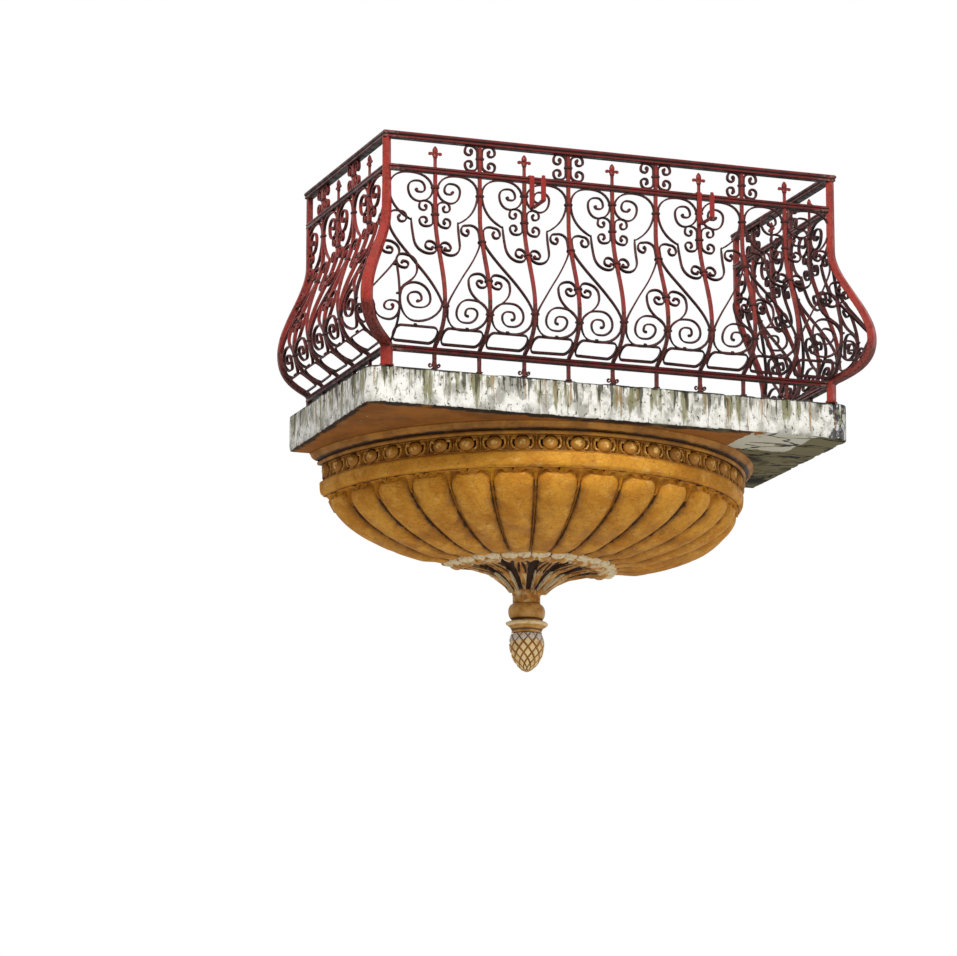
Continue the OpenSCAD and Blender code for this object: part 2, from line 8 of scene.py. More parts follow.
import bmesh
import bpy
import numpy as np
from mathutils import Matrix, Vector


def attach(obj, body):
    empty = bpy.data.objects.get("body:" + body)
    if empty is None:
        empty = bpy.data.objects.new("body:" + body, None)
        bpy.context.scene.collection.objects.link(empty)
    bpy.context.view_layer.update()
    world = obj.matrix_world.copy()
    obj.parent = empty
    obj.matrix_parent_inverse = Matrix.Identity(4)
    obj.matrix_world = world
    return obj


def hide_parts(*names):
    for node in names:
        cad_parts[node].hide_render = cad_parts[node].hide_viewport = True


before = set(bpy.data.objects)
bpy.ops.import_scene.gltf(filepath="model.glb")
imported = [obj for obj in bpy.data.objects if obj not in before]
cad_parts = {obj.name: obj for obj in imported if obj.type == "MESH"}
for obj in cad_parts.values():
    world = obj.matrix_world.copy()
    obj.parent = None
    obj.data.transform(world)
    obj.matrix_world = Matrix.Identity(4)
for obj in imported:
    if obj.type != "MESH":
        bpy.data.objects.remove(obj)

Array = np.ndarray
Numbers = Sequence[float]
Material = bpy.types.Material
Tree = bpy.types.NodeTree
Socket = bpy.types.NodeSocket

log = logging.getLogger("balcony")
MM = 0.001
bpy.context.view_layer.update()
TOP_Z = 1077.5  # the railing's top, mm above the middle of the slab's back face
HALF_WIDTH = 1000.0
REACH = 1030.0
RAIL_HEIGHT = 1000.0
FRIEZE_DROP = 140.0
CORNER_GAP = 15.0  # how much wider a bay is beside a corner post
DIAGONAL = 0.7071  # the sine and cosine of 45 degrees
QUARTER_STEPS = 8  # points to each quarter turn of a volute
WELD = 1e-6  # points nearer than this become one, in metres


# ---------------------------------------------------------------- curves

def columns(*values: Any) -> Array:
    """Numbers or arrays side by side, as points along a new last axis."""
    return np.stack(np.broadcast_arrays(*[np.asarray(v, float) for v in values]), -1)


def unit(vectors: Array, spare: float = 0.0) -> Array:
    """Vectors, one to a row, at length one; spare keeps a row of zeros from a division by nothing."""
    return vectors / (np.linalg.norm(vectors, axis=1)[:, None] + spare)


def bezier(a: Numbers, b: Numbers, c: Numbers, d: Numbers, count: int) -> Array:
    """Points of a cubic Bezier curve after its first.

    Args:
        a, b, c, d: Its four control points.
        count: How many points to give.

    Returns:
        An array of count points.
    """
    t = np.linspace(0, 1, count + 1)[1:, None]
    s = 1 - t
    a, b, c, d = (np.asarray(p, float) for p in (a, b, c, d))
    return s ** 3 * a + 3 * s * s * t * b + 3 * s * t * t * c + t ** 3 * d


def volute(centre: Numbers, radii: Numbers, start: float, turn: int) -> Array:
    """A spiral drawn through its quarter radii.

    Args:
        centre: Its eye, as [along, down].
        radii: The radius at each quarter turn.
        start: The angle of the first quarter radius, in degrees; 90 is down.
        turn: 1 or -1, the way round.

    Returns:
        The points after the first quarter radius.
    """
    r = np.asarray(radii, float)
    q = np.arange(1, QUARTER_STEPS * (len(r) - 1) + 1) / QUARTER_STEPS
    i = np.minimum(q.astype(int), len(r) - 2)
    radius = r[i] + (r[i + 1] - r[i]) * (1 - np.cos(np.pi * (q - i))) / 2
    angle = np.radians(start + 90 * q * turn)
    return np.asarray(centre, float) + radius[:, None] * columns(np.cos(angle), np.sin(angle))


def joined(*parts: Any) -> Array:
    """One run of points from several.

    Args:
        parts: Each a list or array of points, or a tuple (b, c, d, count), a Bezier curve from the last point on.

    Returns:
        An array of shape (n, 2).
    """
    run = np.empty((0, 2))
    for part in parts:
        more = bezier(run[-1], *part) if isinstance(part, tuple) else np.asarray(part, float).reshape(-1, 2)
        run = np.vstack([run, more])
    return run


def densified(path: Array, longest: float = 22.0) -> Array:
    """A path with points put in where they stand further apart than longest."""
    out = [path[:1]]
    for a, b in zip(path[:-1], path[1:]):
        n = max(1, math.ceil(float(np.linalg.norm(b - a)) / longest))
        out.append(a + (b - a) * (np.arange(1, n + 1) / n)[:, None])
    return np.vstack(out)


def lengths(path: Array) -> Array:
    """The distance of each point along a path."""
    return np.concatenate([[0], np.cumsum(np.linalg.norm(np.diff(path, axis=0), axis=1))])


def smoothstep(low: float, high: float, x: Array) -> Array:
    """0 below low, 1 above high, and a smooth rise between."""
    t = np.clip((x - low) / (high - low), 0, 1)
    return t * t * (3 - 2 * t)


def within(x: Array, rise: Numbers, fall: Numbers) -> Array:
    """1 where x has passed its rise and not yet come to its fall, each given as where it begins and ends."""
    return smoothstep(*rise, x) * (1 - smoothstep(*fall, x))


def hump(x: Array, middle: Any, spread: Any) -> Array:
    """1 in the middle, falling off smoothly on both sides."""
    return np.exp(-((x - middle) / spread) ** 2)


class Noise:
    """Smooth value noise on a lattice, the same on every run."""

    TABLE = 4096
    STRIDES = np.array([73, 179, 283])  # how far a cell along x, y or z steps through the table
    TWIST = 7  # a further step, so that rows don't repeat

    def __init__(self, seed: int) -> None:
        """Keeps a table of random values for one seed."""
        self.table = np.random.default_rng(seed).random(self.TABLE)

    def __call__(self, points: Array, size: float) -> Array:
        """The noise at points.

        Args:
            points: An array of shape (n, 3), in mm.
            size: The size of a lattice cell, in mm.

        Returns:
            Values from -1 to 1.
        """
        p = points / size
        cell = np.floor(p).astype(int)
        f = p - cell
        f = f * f * (3 - 2 * f)
        total = np.zeros(len(p))
        for corner in range(8):
            bit = np.array([corner & 1, corner >> 1 & 1, corner >> 2 & 1])
            c = cell + bit
            value = self.table[(c @ self.STRIDES + self.TWIST * c[:, 0] * c[:, 2]) % self.TABLE]
            total += value * np.prod(np.where(bit, f, 1 - f), axis=1)
        return total * 2 - 1

    def rough(self, points: Array, size: float) -> Array:
        """Three octaves of the noise, from size down to a quarter of it."""
        return 0.57 * self(points, size) + 0.29 * self(points + 311, size / 2) + 0.14 * self(points + 97, size / 4)


# ---------------------------------------------------------------- meshes

class Skin:
    """Gathers grids of points, in mm, into the mesh of one piece."""

    def __init__(self) -> None:
        """Starts with no points."""
        self.points: list[Array] = []
        self.faces: list[Sequence[int]] = []
        self.marks: dict[str, list[Array]] = {"groove": [], "rim": []}
        self.count = 0

    def grid(self, rows: Array, caps: bool = True, ring: bool = False, groove: Optional[Array] = None,
             rim: Optional[Array] = None) -> None:
        """Skins over rows of points that each close on themselves.

        Args:
            rows: An array of shape (rows, columns, 3).
            caps: Whether the first and last row are closed by a face.
            ring: Whether the last row joins the first.
            groove: How deep in a groove each point lies, from 0 to 1; the finishes paint shade by it.
            rim: How much each point lies on a raised rim, from 0 to 1; the finishes paint wear by it, and on some
                pieces a painted highlight.
        """
        n, m = rows.shape[:2]
        index = self.count + np.arange(n * m).reshape(n, m)
        here, down = (index, np.roll(index, -1, 0)) if ring else (index[:-1], index[1:])
        quads = np.stack([here, np.roll(here, -1, 1), np.roll(down, -1, 1), down], -1)
        self.faces.extend(quads.reshape(-1, 4).tolist())
        if caps and not ring:
            self.faces.extend([index[0, ::-1].tolist(), index[-1].tolist()])
        self.points.append(rows.reshape(-1, 3))
        for label, values in (("groove", groove), ("rim", rim)):
            self.marks[label].append(np.zeros(n * m) if values is None else values.reshape(-1))
        self.count += n * m

    def piece(self, name: str, material: Material, crease: float = 38.0) -> bpy.types.Object:
        """Makes the mesh object.

        Args:
            name: The piece's name.
            material: Its finish.
            crease: Faces that meet at more than this angle keep a sharp edge, in degrees.

        Returns:
            The new object, linked to the scene.
        """
        mesh = bpy.data.meshes.new(name)
        mesh.from_pydata((np.vstack(self.points) * MM).tolist(), [], self.faces)
        for label, values in self.marks.items():
            layer = mesh.attributes.new(label, "FLOAT", "POINT")
            layer.data.foreach_set("value", np.concatenate(values).astype(np.float32))
        work = bmesh.new()
        work.from_mesh(mesh)
        bmesh.ops.remove_doubles(work, verts=work.verts, dist=WELD)
        bmesh.ops.recalc_face_normals(work, faces=work.faces)
        work.to_mesh(mesh)
        work.free()
        mesh.shade_smooth()
        mesh.set_sharp_from_angle(angle=math.radians(crease))
        mesh.materials.append(material)
        obj = bpy.data.objects.new(name, mesh)
        bpy.context.scene.collection.objects.link(obj)
        return obj


def fitted_piece(obj: bpy.types.Object, slot: str, *nodes: str) -> None:
    """Puts a new piece on the frame.

    Args:
        obj: The piece.
        slot: The material slot that the piece stands for; not used.
        nodes: The CAD nodes that it stands for.
    """
    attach(obj, "root")
    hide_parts(*nodes)
    log.info("%s: %d faces, stands for %s", obj.name, len(obj.data.polygons), ", ".join(nodes))


@dataclass(frozen=True)
class Stock:
    """A bar's section: its width and depth, each one value or one for each point, and how far its corners are eased."""

    width: Any
    depth: Any
    ease: float = 1.2

    def corners(self, count: int) -> Array:
        """The section's eight corners at each of count points, as [across, out]."""
        w, d = (np.broadcast_to(v, count).astype(float) / 2 for v in (self.width, self.depth))
        e = np.minimum(self.ease, 0.9 * np.minimum(w, d))
        corners = [(w - e, -d), (w, e - d), (w, d - e), (w - e, d), (e - w, d), (-w, d - e), (-w, e - d), (e - w, -d)]
        return np.stack([columns(*c) for c in corners], 1)


def sweep(skin: Skin, path: Array, normals: Array, stock: Stock, ring: bool = False) -> None:
    """Sweeps a bar along a path.

    Args:
        skin: The mesh that it goes into.
        path: The bar's middle line, shape (n, 3).
        normals: The way out at each point.
        stock: The bar's section, its width lying across the normals.
        ring: Whether it closes on itself.
    """
    tangent = unit(np.roll(path, -1, 0) - np.roll(path, 1, 0) if ring else np.gradient(path, axis=0))
    side = unit(np.cross(tangent, normals))
    out = np.cross(side, tangent)
    section = stock.corners(len(path))
    skin.grid(path[:, None] + side[:, None] * section[..., :1] + out[:, None] * section[..., 1:], ring=ring)


# ---------------------------------------------------------------- finishes

MIX_FACTOR, MIX_A, MIX_B, MIX_COLOUR = 0, 6, 7, 2  # the mix node's sockets for colours, by number


def linear(colour: str) -> tuple[float, float, float, float]:
    """An sRGB hex colour as linear values."""
    parts = [int(colour[i:i + 2], 16) / 255 for i in (1, 3, 5)]
    r, g, b = (c / 12.92 if c <= 0.04045 else ((c + 0.055) / 1.055) ** 2.4 for c in parts)
    return r, g, b, 1.0


def add_node(tree: Tree, kind: str, settings: Optional[dict] = None, links: Optional[dict] = None) -> bpy.types.Node:
    """Adds a shader node with its settings and links.

    Args:
        tree: The material's or world's node tree.
        kind: The node's type, without ShaderNode.
        settings: Values for its properties or, by name or number, its sockets.
        links: For each socket, the socket that feeds it.

    Returns:
        The new node.
    """
    node = tree.nodes.new("ShaderNode" + kind)
    for key, value in (settings or {}).items():
        if isinstance(key, str) and hasattr(node, key):
            setattr(node, key, value)
        else:
            node.inputs[key].default_value = value
    for key, socket in (links or {}).items():
        tree.links.new(socket, node.inputs[key])
    return node


def ramp(tree: Tree, value: Socket, start: float, end: float, low: float = 0.0, high: float = 1.0) -> Socket:
    """Eases from low to high as a value goes from start to end."""
    return add_node(tree, "MapRange", {"interpolation_type": "SMOOTHSTEP", "From Min": start, "From Max": end,
                                       "To Min": low, "To Max": high}, {"Value": value}).outputs[0]


def embossed(tree: Tree, height: Socket, lift: float, below: Optional[Socket]) -> Socket:
    """The surface's normal after a pattern lifts it by some mm, or sinks it, over an earlier normal."""
    return add_node(tree, "Bump", {"Distance": abs(lift) * MM, "invert": lift < 0},
                    {"Height": height, **({"Normal": below} if below else {})}).outputs[0]


class Source(Enum):
    """What a gate reads: a place in mm, the way a face looks, a mark on the mesh, or an outer edge."""

    X = ("place", 0)
    Y = ("place", 1)
    Z = ("place", 2)
    FACING_Z = ("facing", 2)
    GROOVE = ("mark", "groove")
    RIM = ("mark", "rim")
    EDGE = ("edge", 0)


class Pattern(Enum):
    """The kind of pattern that a stain follows."""

    CLOUDS = "clouds"
    CRACKS = "cracks"


@dataclass(frozen=True)
class Gate:
    """Lets a stain in as a source goes from start to end."""

    source: Source
    start: float
    end: float


@dataclass(frozen=True)
class StainOrPaintedLight:
    """A stain, wash, chip or crack over the coats below it; the same layer also paints shade and highlights.

    Its grain is the real size of the pattern in mm, as one number or along x, y and z. It shows where the pattern's
    value is between low and high or above, and a gate holds it back by reach. Its lift is in mm.
    """

    colour: str
    grain: float | tuple[float, float, float]
    low: float
    high: float
    strength: float = 1.0
    gates: tuple[Gate, ...] = ()
    reach: float = 0.6
    pattern: Pattern = Pattern.CLOUDS
    lift: float = 0.0


@dataclass(frozen=True)
class Feel:
    """How a surface takes light, and the size and depth of its fine grit and its broad swells, in mm."""

    ior: float
    roughness: float
    gloss_change: float
    grit: float
    grit_depth: float
    swell: float
    swell_depth: float


@dataclass(frozen=True)
class Finish:
    """A surface: what it is made of, two coats that meet in patches of some mm, its feel, and its stains with the
    painted shade and highlights among them.
    """

    name: str
    base: str
    second: str
    patch: float
    feel: Feel
    overlays: tuple[StainOrPaintedLight, ...]

    def build(self) -> Material:
        """Makes the material's nodes.

        Returns:
            The new material.
        """
        material = bpy.data.materials.new(self.name)
        material.use_nodes = True
        tree, feel = material.node_tree, self.feel
        tree.nodes.clear()
        place = add_node(tree, "TexCoord").outputs["Object"]
        sockets = self._sources(tree, place)
        cloud = ramp(tree, self._pattern(tree, place, self.patch), 0.38, 0.64)
        colour = add_node(tree, "Mix", {"data_type": "RGBA", MIX_A: linear(self.base), MIX_B: linear(self.second)},
                          {MIX_FACTOR: cloud}).outputs[MIX_COLOUR]
        normal: Optional[Socket] = None
        for overlay in self.overlays:
            mask = self._gated(tree, place, overlay, sockets)
            colour = add_node(tree, "Mix", {"data_type": "RGBA", MIX_B: linear(overlay.colour)},
                              {MIX_FACTOR: mask, MIX_A: colour}).outputs[MIX_COLOUR]
            if overlay.lift:
                normal = embossed(tree, mask, overlay.lift, normal)
        for size, depth in ((feel.swell, feel.swell_depth), (feel.grit, feel.grit_depth)):
            normal = embossed(tree, ramp(tree, self._pattern(tree, place, size), 0.0, 1.0), depth, normal)
        gloss = add_node(tree, "MapRange", {"To Min": feel.roughness - feel.gloss_change,
                                            "To Max": min(1.0, feel.roughness + feel.gloss_change)}, {"Value": cloud})
        shader = add_node(tree, "BsdfPrincipled", {"IOR": feel.ior},
                          {"Base Color": colour, "Roughness": gloss.outputs[0], "Normal": normal})
        add_node(tree, "OutputMaterial", {}, {"Surface": shader.outputs[0]})
        return material

    def _sources(self, tree: Tree, place: Socket) -> dict[Source, Socket]:
        """The sockets that the stains' gates read."""
        wanted = {g.source for s in self.overlays for g in s.gates}
        found: dict[Source, Socket] = {}
        in_mm = add_node(tree, "VectorMath", {"operation": "SCALE", "Scale": 1 / MM}, {0: place}).outputs[0]
        geometry = add_node(tree, "NewGeometry")
        split = {"place": in_mm, "facing": geometry.outputs["Normal"]}
        for source in sorted(wanted, key=lambda s: s.name):
            kind, which = source.value
            if kind in split:
                found[source] = add_node(tree, "SeparateXYZ", {}, {0: split[kind]}).outputs[which]
            elif kind == "mark":
                found[source] = add_node(tree, "Attribute", {"attribute_name": which}).outputs["Fac"]
            else:
                found[source] = geometry.outputs["Pointiness"]
        return found

    @staticmethod
    def _pattern(tree: Tree, place: Socket, grain: Any, pattern: Pattern = Pattern.CLOUDS) -> Socket:
        """The value of a pattern of some grain at each point."""
        scale = tuple(1 / (MM * float(g)) for g in np.broadcast_to(grain, 3))
        at = add_node(tree, "VectorMath", {"operation": "MULTIPLY", 1: scale}, {0: place}).outputs[0]
        if pattern is Pattern.CLOUDS:
            return add_node(tree, "TexNoise", {"Scale": 1.0, "Detail": 5.0, "Roughness": 0.62},
                            {"Vector": at}).outputs["Fac"]
        shaken = add_node(tree, "TexNoise", {"Scale": 2.1, "Detail": 2.0}, {"Vector": at}).outputs["Color"]
        moved = add_node(tree, "VectorMath", {"operation": "MULTIPLY_ADD", 1: (0.5, 0.5, 0.5)},
                         {0: shaken, 2: at}).outputs[0]
        cells = add_node(tree, "TexVoronoi", {"feature": "DISTANCE_TO_EDGE", "Scale": 1.0},
                         {"Vector": moved}).outputs["Distance"]
        return add_node(tree, "Math", {"operation": "SUBTRACT", 0: 1.0}, {1: cells}).outputs[0]

    def _gated(self, tree: Tree, place: Socket, overlay: StainOrPaintedLight, sockets: dict[Source, Socket]) -> Socket:
        """How much a stain covers at each point, held back where its gates are shut."""
        value = self._pattern(tree, place, overlay.grain, overlay.pattern)
        for gate in overlay.gates:
            back = ramp(tree, sockets[gate.source], gate.start, gate.end, -overlay.reach, 0.0)
            value = add_node(tree, "Math", {"operation": "ADD"}, {0: value, 1: back}).outputs[0]
        return ramp(tree, value, overlay.low, overlay.high, 0.0, overlay.strength)


# Gates for painted shade: on faces that look down, and on the railing's lowest part
UNDERSIDE_SHADE = Gate(Source.FACING_Z, -0.02, -0.3)
LOW_SHADE = Gate(Source.Z, 378, 338)
RUST = StainOrPaintedLight("#4A2212", (14, 14, 20), 0.60, 0.68, 0.75, lift=0.3)
SPECKS = StainOrPaintedLight("#1E0B09", (6, 6, 8), 0.64, 0.70, 0.8)
CHALK = StainOrPaintedLight("#A03E33", (26, 26, 60), 0.56, 0.80, 0.35)
WORN_EDGE = Gate(Source.EDGE, 0.52, 0.56)
OIL_PAINT = Feel(1.35, 0.5, 0.12, 4, 0.25, 22, 0.5)
STRIP_PAINT = replace(OIL_PAINT, roughness=0.55, swell=16, swell_depth=0.4)

# Wrought iron under a worn red oil paint: chalky on the faces, rust at the chips, with painted shade nearly black on
# the faces that look down and on the lowest part
FORGED_IRON = Finish("Painted_wrought_iron", "#74180F", "#560E09", 45, OIL_PAINT, (
    CHALK, SPECKS, RUST,
    # painted shade, nearly black, on faces that look down and on the lowest part
    StainOrPaintedLight("#1C0A09", 60, 0.20, 0.46, 0.92, (UNDERSIDE_SHADE,)),
    StainOrPaintedLight("#190706", (60, 60, 30), 0.14, 0.34, 0.9, (LOW_SHADE,)),
    StainOrPaintedLight("#8E3A30", 10, 0.35, 0.6, 0.4, (WORN_EDGE,)),
))

# The corner posts: the same paint in a lighter red as painted light on their faces, with painted shade underneath and
# at the lower bend
POST_IRON = Finish("Repainted_wrought_iron", "#8C1F13", "#70170E", 60, replace(OIL_PAINT, roughness=0.45), (
    CHALK, SPECKS, RUST,
    # painted shade under the post, and at its lower bend, fading out again above the feet
    StainOrPaintedLight("#240D0B", 60, 0.20, 0.46, 0.9, (UNDERSIDE_SHADE,)),
    StainOrPaintedLight("#380D0A", (60, 60, 40), 0.14, 0.34, 0.88, (Gate(Source.Z, 410, 240), Gate(Source.Z, 160, 178))),
    StainOrPaintedLight("#A34336", 10, 0.35, 0.6, 0.4, (WORN_EDGE,)),
))

# The rails' paint is worn thin by rain and hands: brown-red on the tops, with painted shade nearly black on the faces
# that look down
RAIL_IRON = Finish("Weathered_painted_iron", "#651811", "#43100B", 50, OIL_PAINT, (
    StainOrPaintedLight("#82302A", 26, 0.56, 0.78, 0.5), SPECKS, RUST,
    # painted shade, nearly black, on faces that look down
    StainOrPaintedLight("#150706", 60, 0.16, 0.42, 0.95, (Gate(Source.FACING_Z, 0.0, -0.25),)),
    StainOrPaintedLight("#8A7266", 12, 0.40, 0.6, 0.45, (Gate(Source.EDGE, 0.54, 0.58),)),
))

# The same paint on thin hammered strip, darker all over as painted shade, and nearly black as painted shade on the
# faces that look down
SHADED_SCROLL_IRON = Finish("Painted_hammered_strip", "#47120D", "#2B0B08", 40, STRIP_PAINT, (
    StainOrPaintedLight("#7E251D", (22, 22, 40), 0.60, 0.78, 0.5), SPECKS, RUST,
    StainOrPaintedLight("#140706", 60, 0.24, 0.50, 0.9, (UNDERSIDE_SHADE,)),
))

# Flat strap iron with a younger coat of red paint, scuffed to rust at the bends
HOOK_IRON = Finish("Painted_strap_iron", "#861A12", "#70140D", 40, Feel(1.4, 0.45, 0.1, 4, 0.2, 20, 0.3), (
    StainOrPaintedLight("#9C3428", (18, 18, 30), 0.60, 0.8, 0.4), SPECKS,
    StainOrPaintedLight("#3F170E", (12, 12, 16), 0.60, 0.68, 0.8),
))

TOP_EDGE = Gate(Source.Z, 56, 76)
RIGHT_END = (Gate(Source.X, 955, 985), Gate(Source.Y, -880, -960))

# Limewashed stone: a rough white wash with vertical streaks of algae, rust and soot, and broken dark edges
SLAB_STONE = Finish("Limewashed_stone", "#DEDCD5", "#BDBBB0", 60, Feel(1.4, 0.88, 0.08, 5, 1.2, 40, 3.0), (
    StainOrPaintedLight("#94928A", (60, 60, 80), 0.50, 0.60, 0.75, lift=0.8),
    StainOrPaintedLight("#77756C", (18, 18, 34), 0.58, 0.64, 0.7, lift=-0.8),
    StainOrPaintedLight("#75724A", (46, 46, 420), 0.50, 0.59, 0.85, (Gate(Source.Z, -140, 30),), 0.16),
    StainOrPaintedLight("#8F6C3C", (22, 22, 480), 0.57, 0.63, 0.8, (Gate(Source.Z, -150, 30),), 0.12),
    StainOrPaintedLight("#3E3C2A", (26, 26, 300), 0.51, 0.58, 0.9, (Gate(Source.Z, -120, 60),), 0.2, lift=-0.5),
    StainOrPaintedLight("#1D1B16", (17, 17, 260), 0.585, 0.635, 0.92, (Gate(Source.Z, -90, 70),), 0.2, lift=-0.5),
    StainOrPaintedLight("#4A2018", (7, 7, 620), 0.665, 0.69, 0.85, (Gate(Source.Z, -90, -30),), 0.1, lift=-0.8),
    StainOrPaintedLight("#2E2A24", (16, 16, 26), 0.60, 0.65, 0.9, lift=-1.2),
    StainOrPaintedLight("#1B1916", (34, 34, 14), 0.32, 0.44, 0.95, (TOP_EDGE,), 0.5, lift=-1.0),
    StainOrPaintedLight("#1F1A14", (40, 40, 10), 0.38, 0.50, 0.95, (Gate(Source.Z, -68, -77),), 0.5, lift=-1.0),
    StainOrPaintedLight("#24242A", (36, 36, 50), 0.40, 0.50, 0.92, RIGHT_END, 0.45, lift=-0.8),
    StainOrPaintedLight("#D5D5D6", (14, 14, 44), 0.56, 0.60, 0.85, RIGHT_END, 0.5, lift=0.8),
))

# The slab's underside: old ochre wash over damp stone, painted shade nearly black along its front and left edges,
# peeled grey at the right corner
SOFFIT_STONE = Finish("Washed_soffit_stone", "#965A12", "#7C480E", 190, Feel(1.4, 0.9, 0.06, 6, 1.0, 60, 3.0), (
    StainOrPaintedLight("#5A3513", 160, 0.50, 0.72, 0.5),
    StainOrPaintedLight("#26150A", 16, 0.66, 0.71, 0.75, lift=-1.0),
    StainOrPaintedLight("#D2C6AE", 22, 0.70, 0.73, 0.8, lift=-1.0),
    # painted shade, nearly black, along the front edge and along the left edge
    StainOrPaintedLight("#0D0A07", 90, 0.26, 0.46, 0.95, (Gate(Source.Y, -940, -1010), Gate(Source.X, 760, 600)), 0.5),
    StainOrPaintedLight("#0D0A07", 90, 0.26, 0.46, 0.9, (Gate(Source.X, -1020, -1070),), 0.5),
    StainOrPaintedLight("#6E6B4E", 120, 0.18, 0.40, 0.92, (Gate(Source.X, 660, 740),), 0.4, lift=-1.0),
    StainOrPaintedLight("#34311F", 150, 0.44, 0.60, 0.85, (Gate(Source.X, 700, 860), Gate(Source.Y, -820, -640)), 0.4),
    StainOrPaintedLight("#C6C3B2", 90, 0.36, 0.40, 0.95, (Gate(Source.X, 600, 640), Gate(Source.X, 950, 900),
                                            Gate(Source.Y, -690, -730)), 0.5, lift=3.0),
    StainOrPaintedLight("#0F0D0B", (300, 110, 160), 0.965, 0.978, 0.95, (Gate(Source.X, 640, 700),), 0.2, Pattern.CRACKS, -2.0),
))

# The deck above: cement screed, grey and stained where water stands
DECK_STONE = Finish("Cement_screed", "#8F8C84", "#75726A", 120, Feel(1.5, 0.9, 0.06, 4, 0.6, 80, 1.5), (
    StainOrPaintedLight("#4B4A42", 180, 0.52, 0.66, 0.7), StainOrPaintedLight("#6C7050", 60, 0.60, 0.7, 0.5),
    StainOrPaintedLight("#3A3832", 160, 0.975, 0.99, 0.8, pattern=Pattern.CRACKS, lift=-0.6),
))

# Gates on the carving's marks: HOLLOW and GROOVE let painted shade into the hollows and grooves, RIM lets in wear, and
# on the mouldings and the pendant a painted highlight
HOLLOW = Gate(Source.GROOVE, 0.0, 1.0)
GROOVE = Gate(Source.GROOVE, 0.35, 0.95)
RIM = Gate(Source.RIM, 0.2, 0.8)

# Lime stucco under an ochre wash: mottled, crackled, with painted shade brown in the hollows and grooves, and bare lime
# on the ridges
STUCCO = Finish("Ochre_limewashed_stucco", "#CE8F22", "#B87718", 110, Feel(1.4, 0.72, 0.12, 5, 0.7, 45, 2.0), (
    StainOrPaintedLight("#E0B160", (60, 60, 40), 0.54, 0.74, 0.5),
    StainOrPaintedLight("#A56F22", (80, 80, 60), 0.56, 0.72, 0.5),
    StainOrPaintedLight("#9A5F16", (110, 110, 70), 0.40, 0.62, 0.6, (Gate(Source.Z, -330, -480),), 0.4),
    StainOrPaintedLight("#8F5C1C", (15, 15, 7), 0.60, 0.66, 0.5, lift=-0.5),
    StainOrPaintedLight("#6E4313", (34, 34, 18), 0.972, 0.990, 0.55, pattern=Pattern.CRACKS, lift=-0.5),
    # painted shade: brown over the hollows, near black deep in the grooves
    StainOrPaintedLight("#74450F", 70, 0.0, 0.62, 0.92, (HOLLOW,), 0.6),
    StainOrPaintedLight("#2E1808", 40, 0.16, 0.44, 0.92, (GROOVE,), 0.7),
    StainOrPaintedLight("#3A2410", 6, 0.68, 0.71, 0.8),
    StainOrPaintedLight("#DDD2BA", 14, 0.54, 0.62, 0.75, (RIM,), 0.6, lift=0.4),
    StainOrPaintedLight("#DAD4C8", (16, 16, 22), 0.70, 0.73, 0.85, (Gate(Source.X, -900, 700),), 0.06, lift=-0.6),
    StainOrPaintedLight("#6C6A50", (60, 60, 90), 0.38, 0.56, 0.65, (Gate(Source.X, 560, 800), Gate(Source.Z, -230, -200)), 0.5),
))

# The mouldings above the bowl: the same wash, deeper and browner as painted shade, with painted shade in the hollows
# and a golden painted highlight on the bead, shells, darts and egg fronts
SHADED_STUCCO = Finish("Sooty_limewashed_stucco", "#B2761C", "#925C12", 110, Feel(1.45, 0.6, 0.12, 5, 0.6, 45, 1.5), (
    StainOrPaintedLight("#C08A38", (60, 60, 40), 0.56, 0.74, 0.5),
    # painted shade in the hollows and grooves
    StainOrPaintedLight("#5E3A10", 70, 0.0, 0.62, 0.9, (HOLLOW,), 0.5),
    StainOrPaintedLight("#221206", 40, 0.16, 0.44, 0.95, (GROOVE,), 0.7),
    # painted highlight, golden, on the bead, the shells, the darts and the eggs' fronts
    StainOrPaintedLight("#E0B662", 14, 0.40, 0.56, 0.85, (RIM,), 0.6, lift=0.3),
    StainOrPaintedLight("#D8CDB6", (16, 16, 10), 0.71, 0.74, 0.85, lift=-0.5),
))

# The pendant: a cream painted highlight on everything that stands proud, painted shade in the grooves and quirks, grey
# where rain runs down the cone
PENDANT_STUCCO = Finish("Worn_ochre_stucco", "#C4924A", "#A9762F", 40, Feel(1.45, 0.55, 0.1, 5, 0.5, 30, 1.2), (
    StainOrPaintedLight("#8A5A20", 40, 0.56, 0.70, 0.5),
    # painted shade in the grooves and quirks, and a cream painted highlight on the ring, the bulb and the scales'
    # crowns
    StainOrPaintedLight("#4E3014", 40, 0.10, 0.36, 0.92, (GROOVE,), 0.7),
    StainOrPaintedLight("#E6CF9E", 20, 0.28, 0.50, 0.85, (RIM,), 0.6, lift=0.3),
    StainOrPaintedLight("#C9CACB", (50, 50, 60), 0.28, 0.48, 0.85, (Gate(Source.Z, -862, -826), Gate(Source.Z, -797, -801),
                                                    Gate(Source.GROOVE, 0.5, 0.2)), 0.6),
    StainOrPaintedLight("#5C4A34", 6, 0.68, 0.72, 0.6),
))

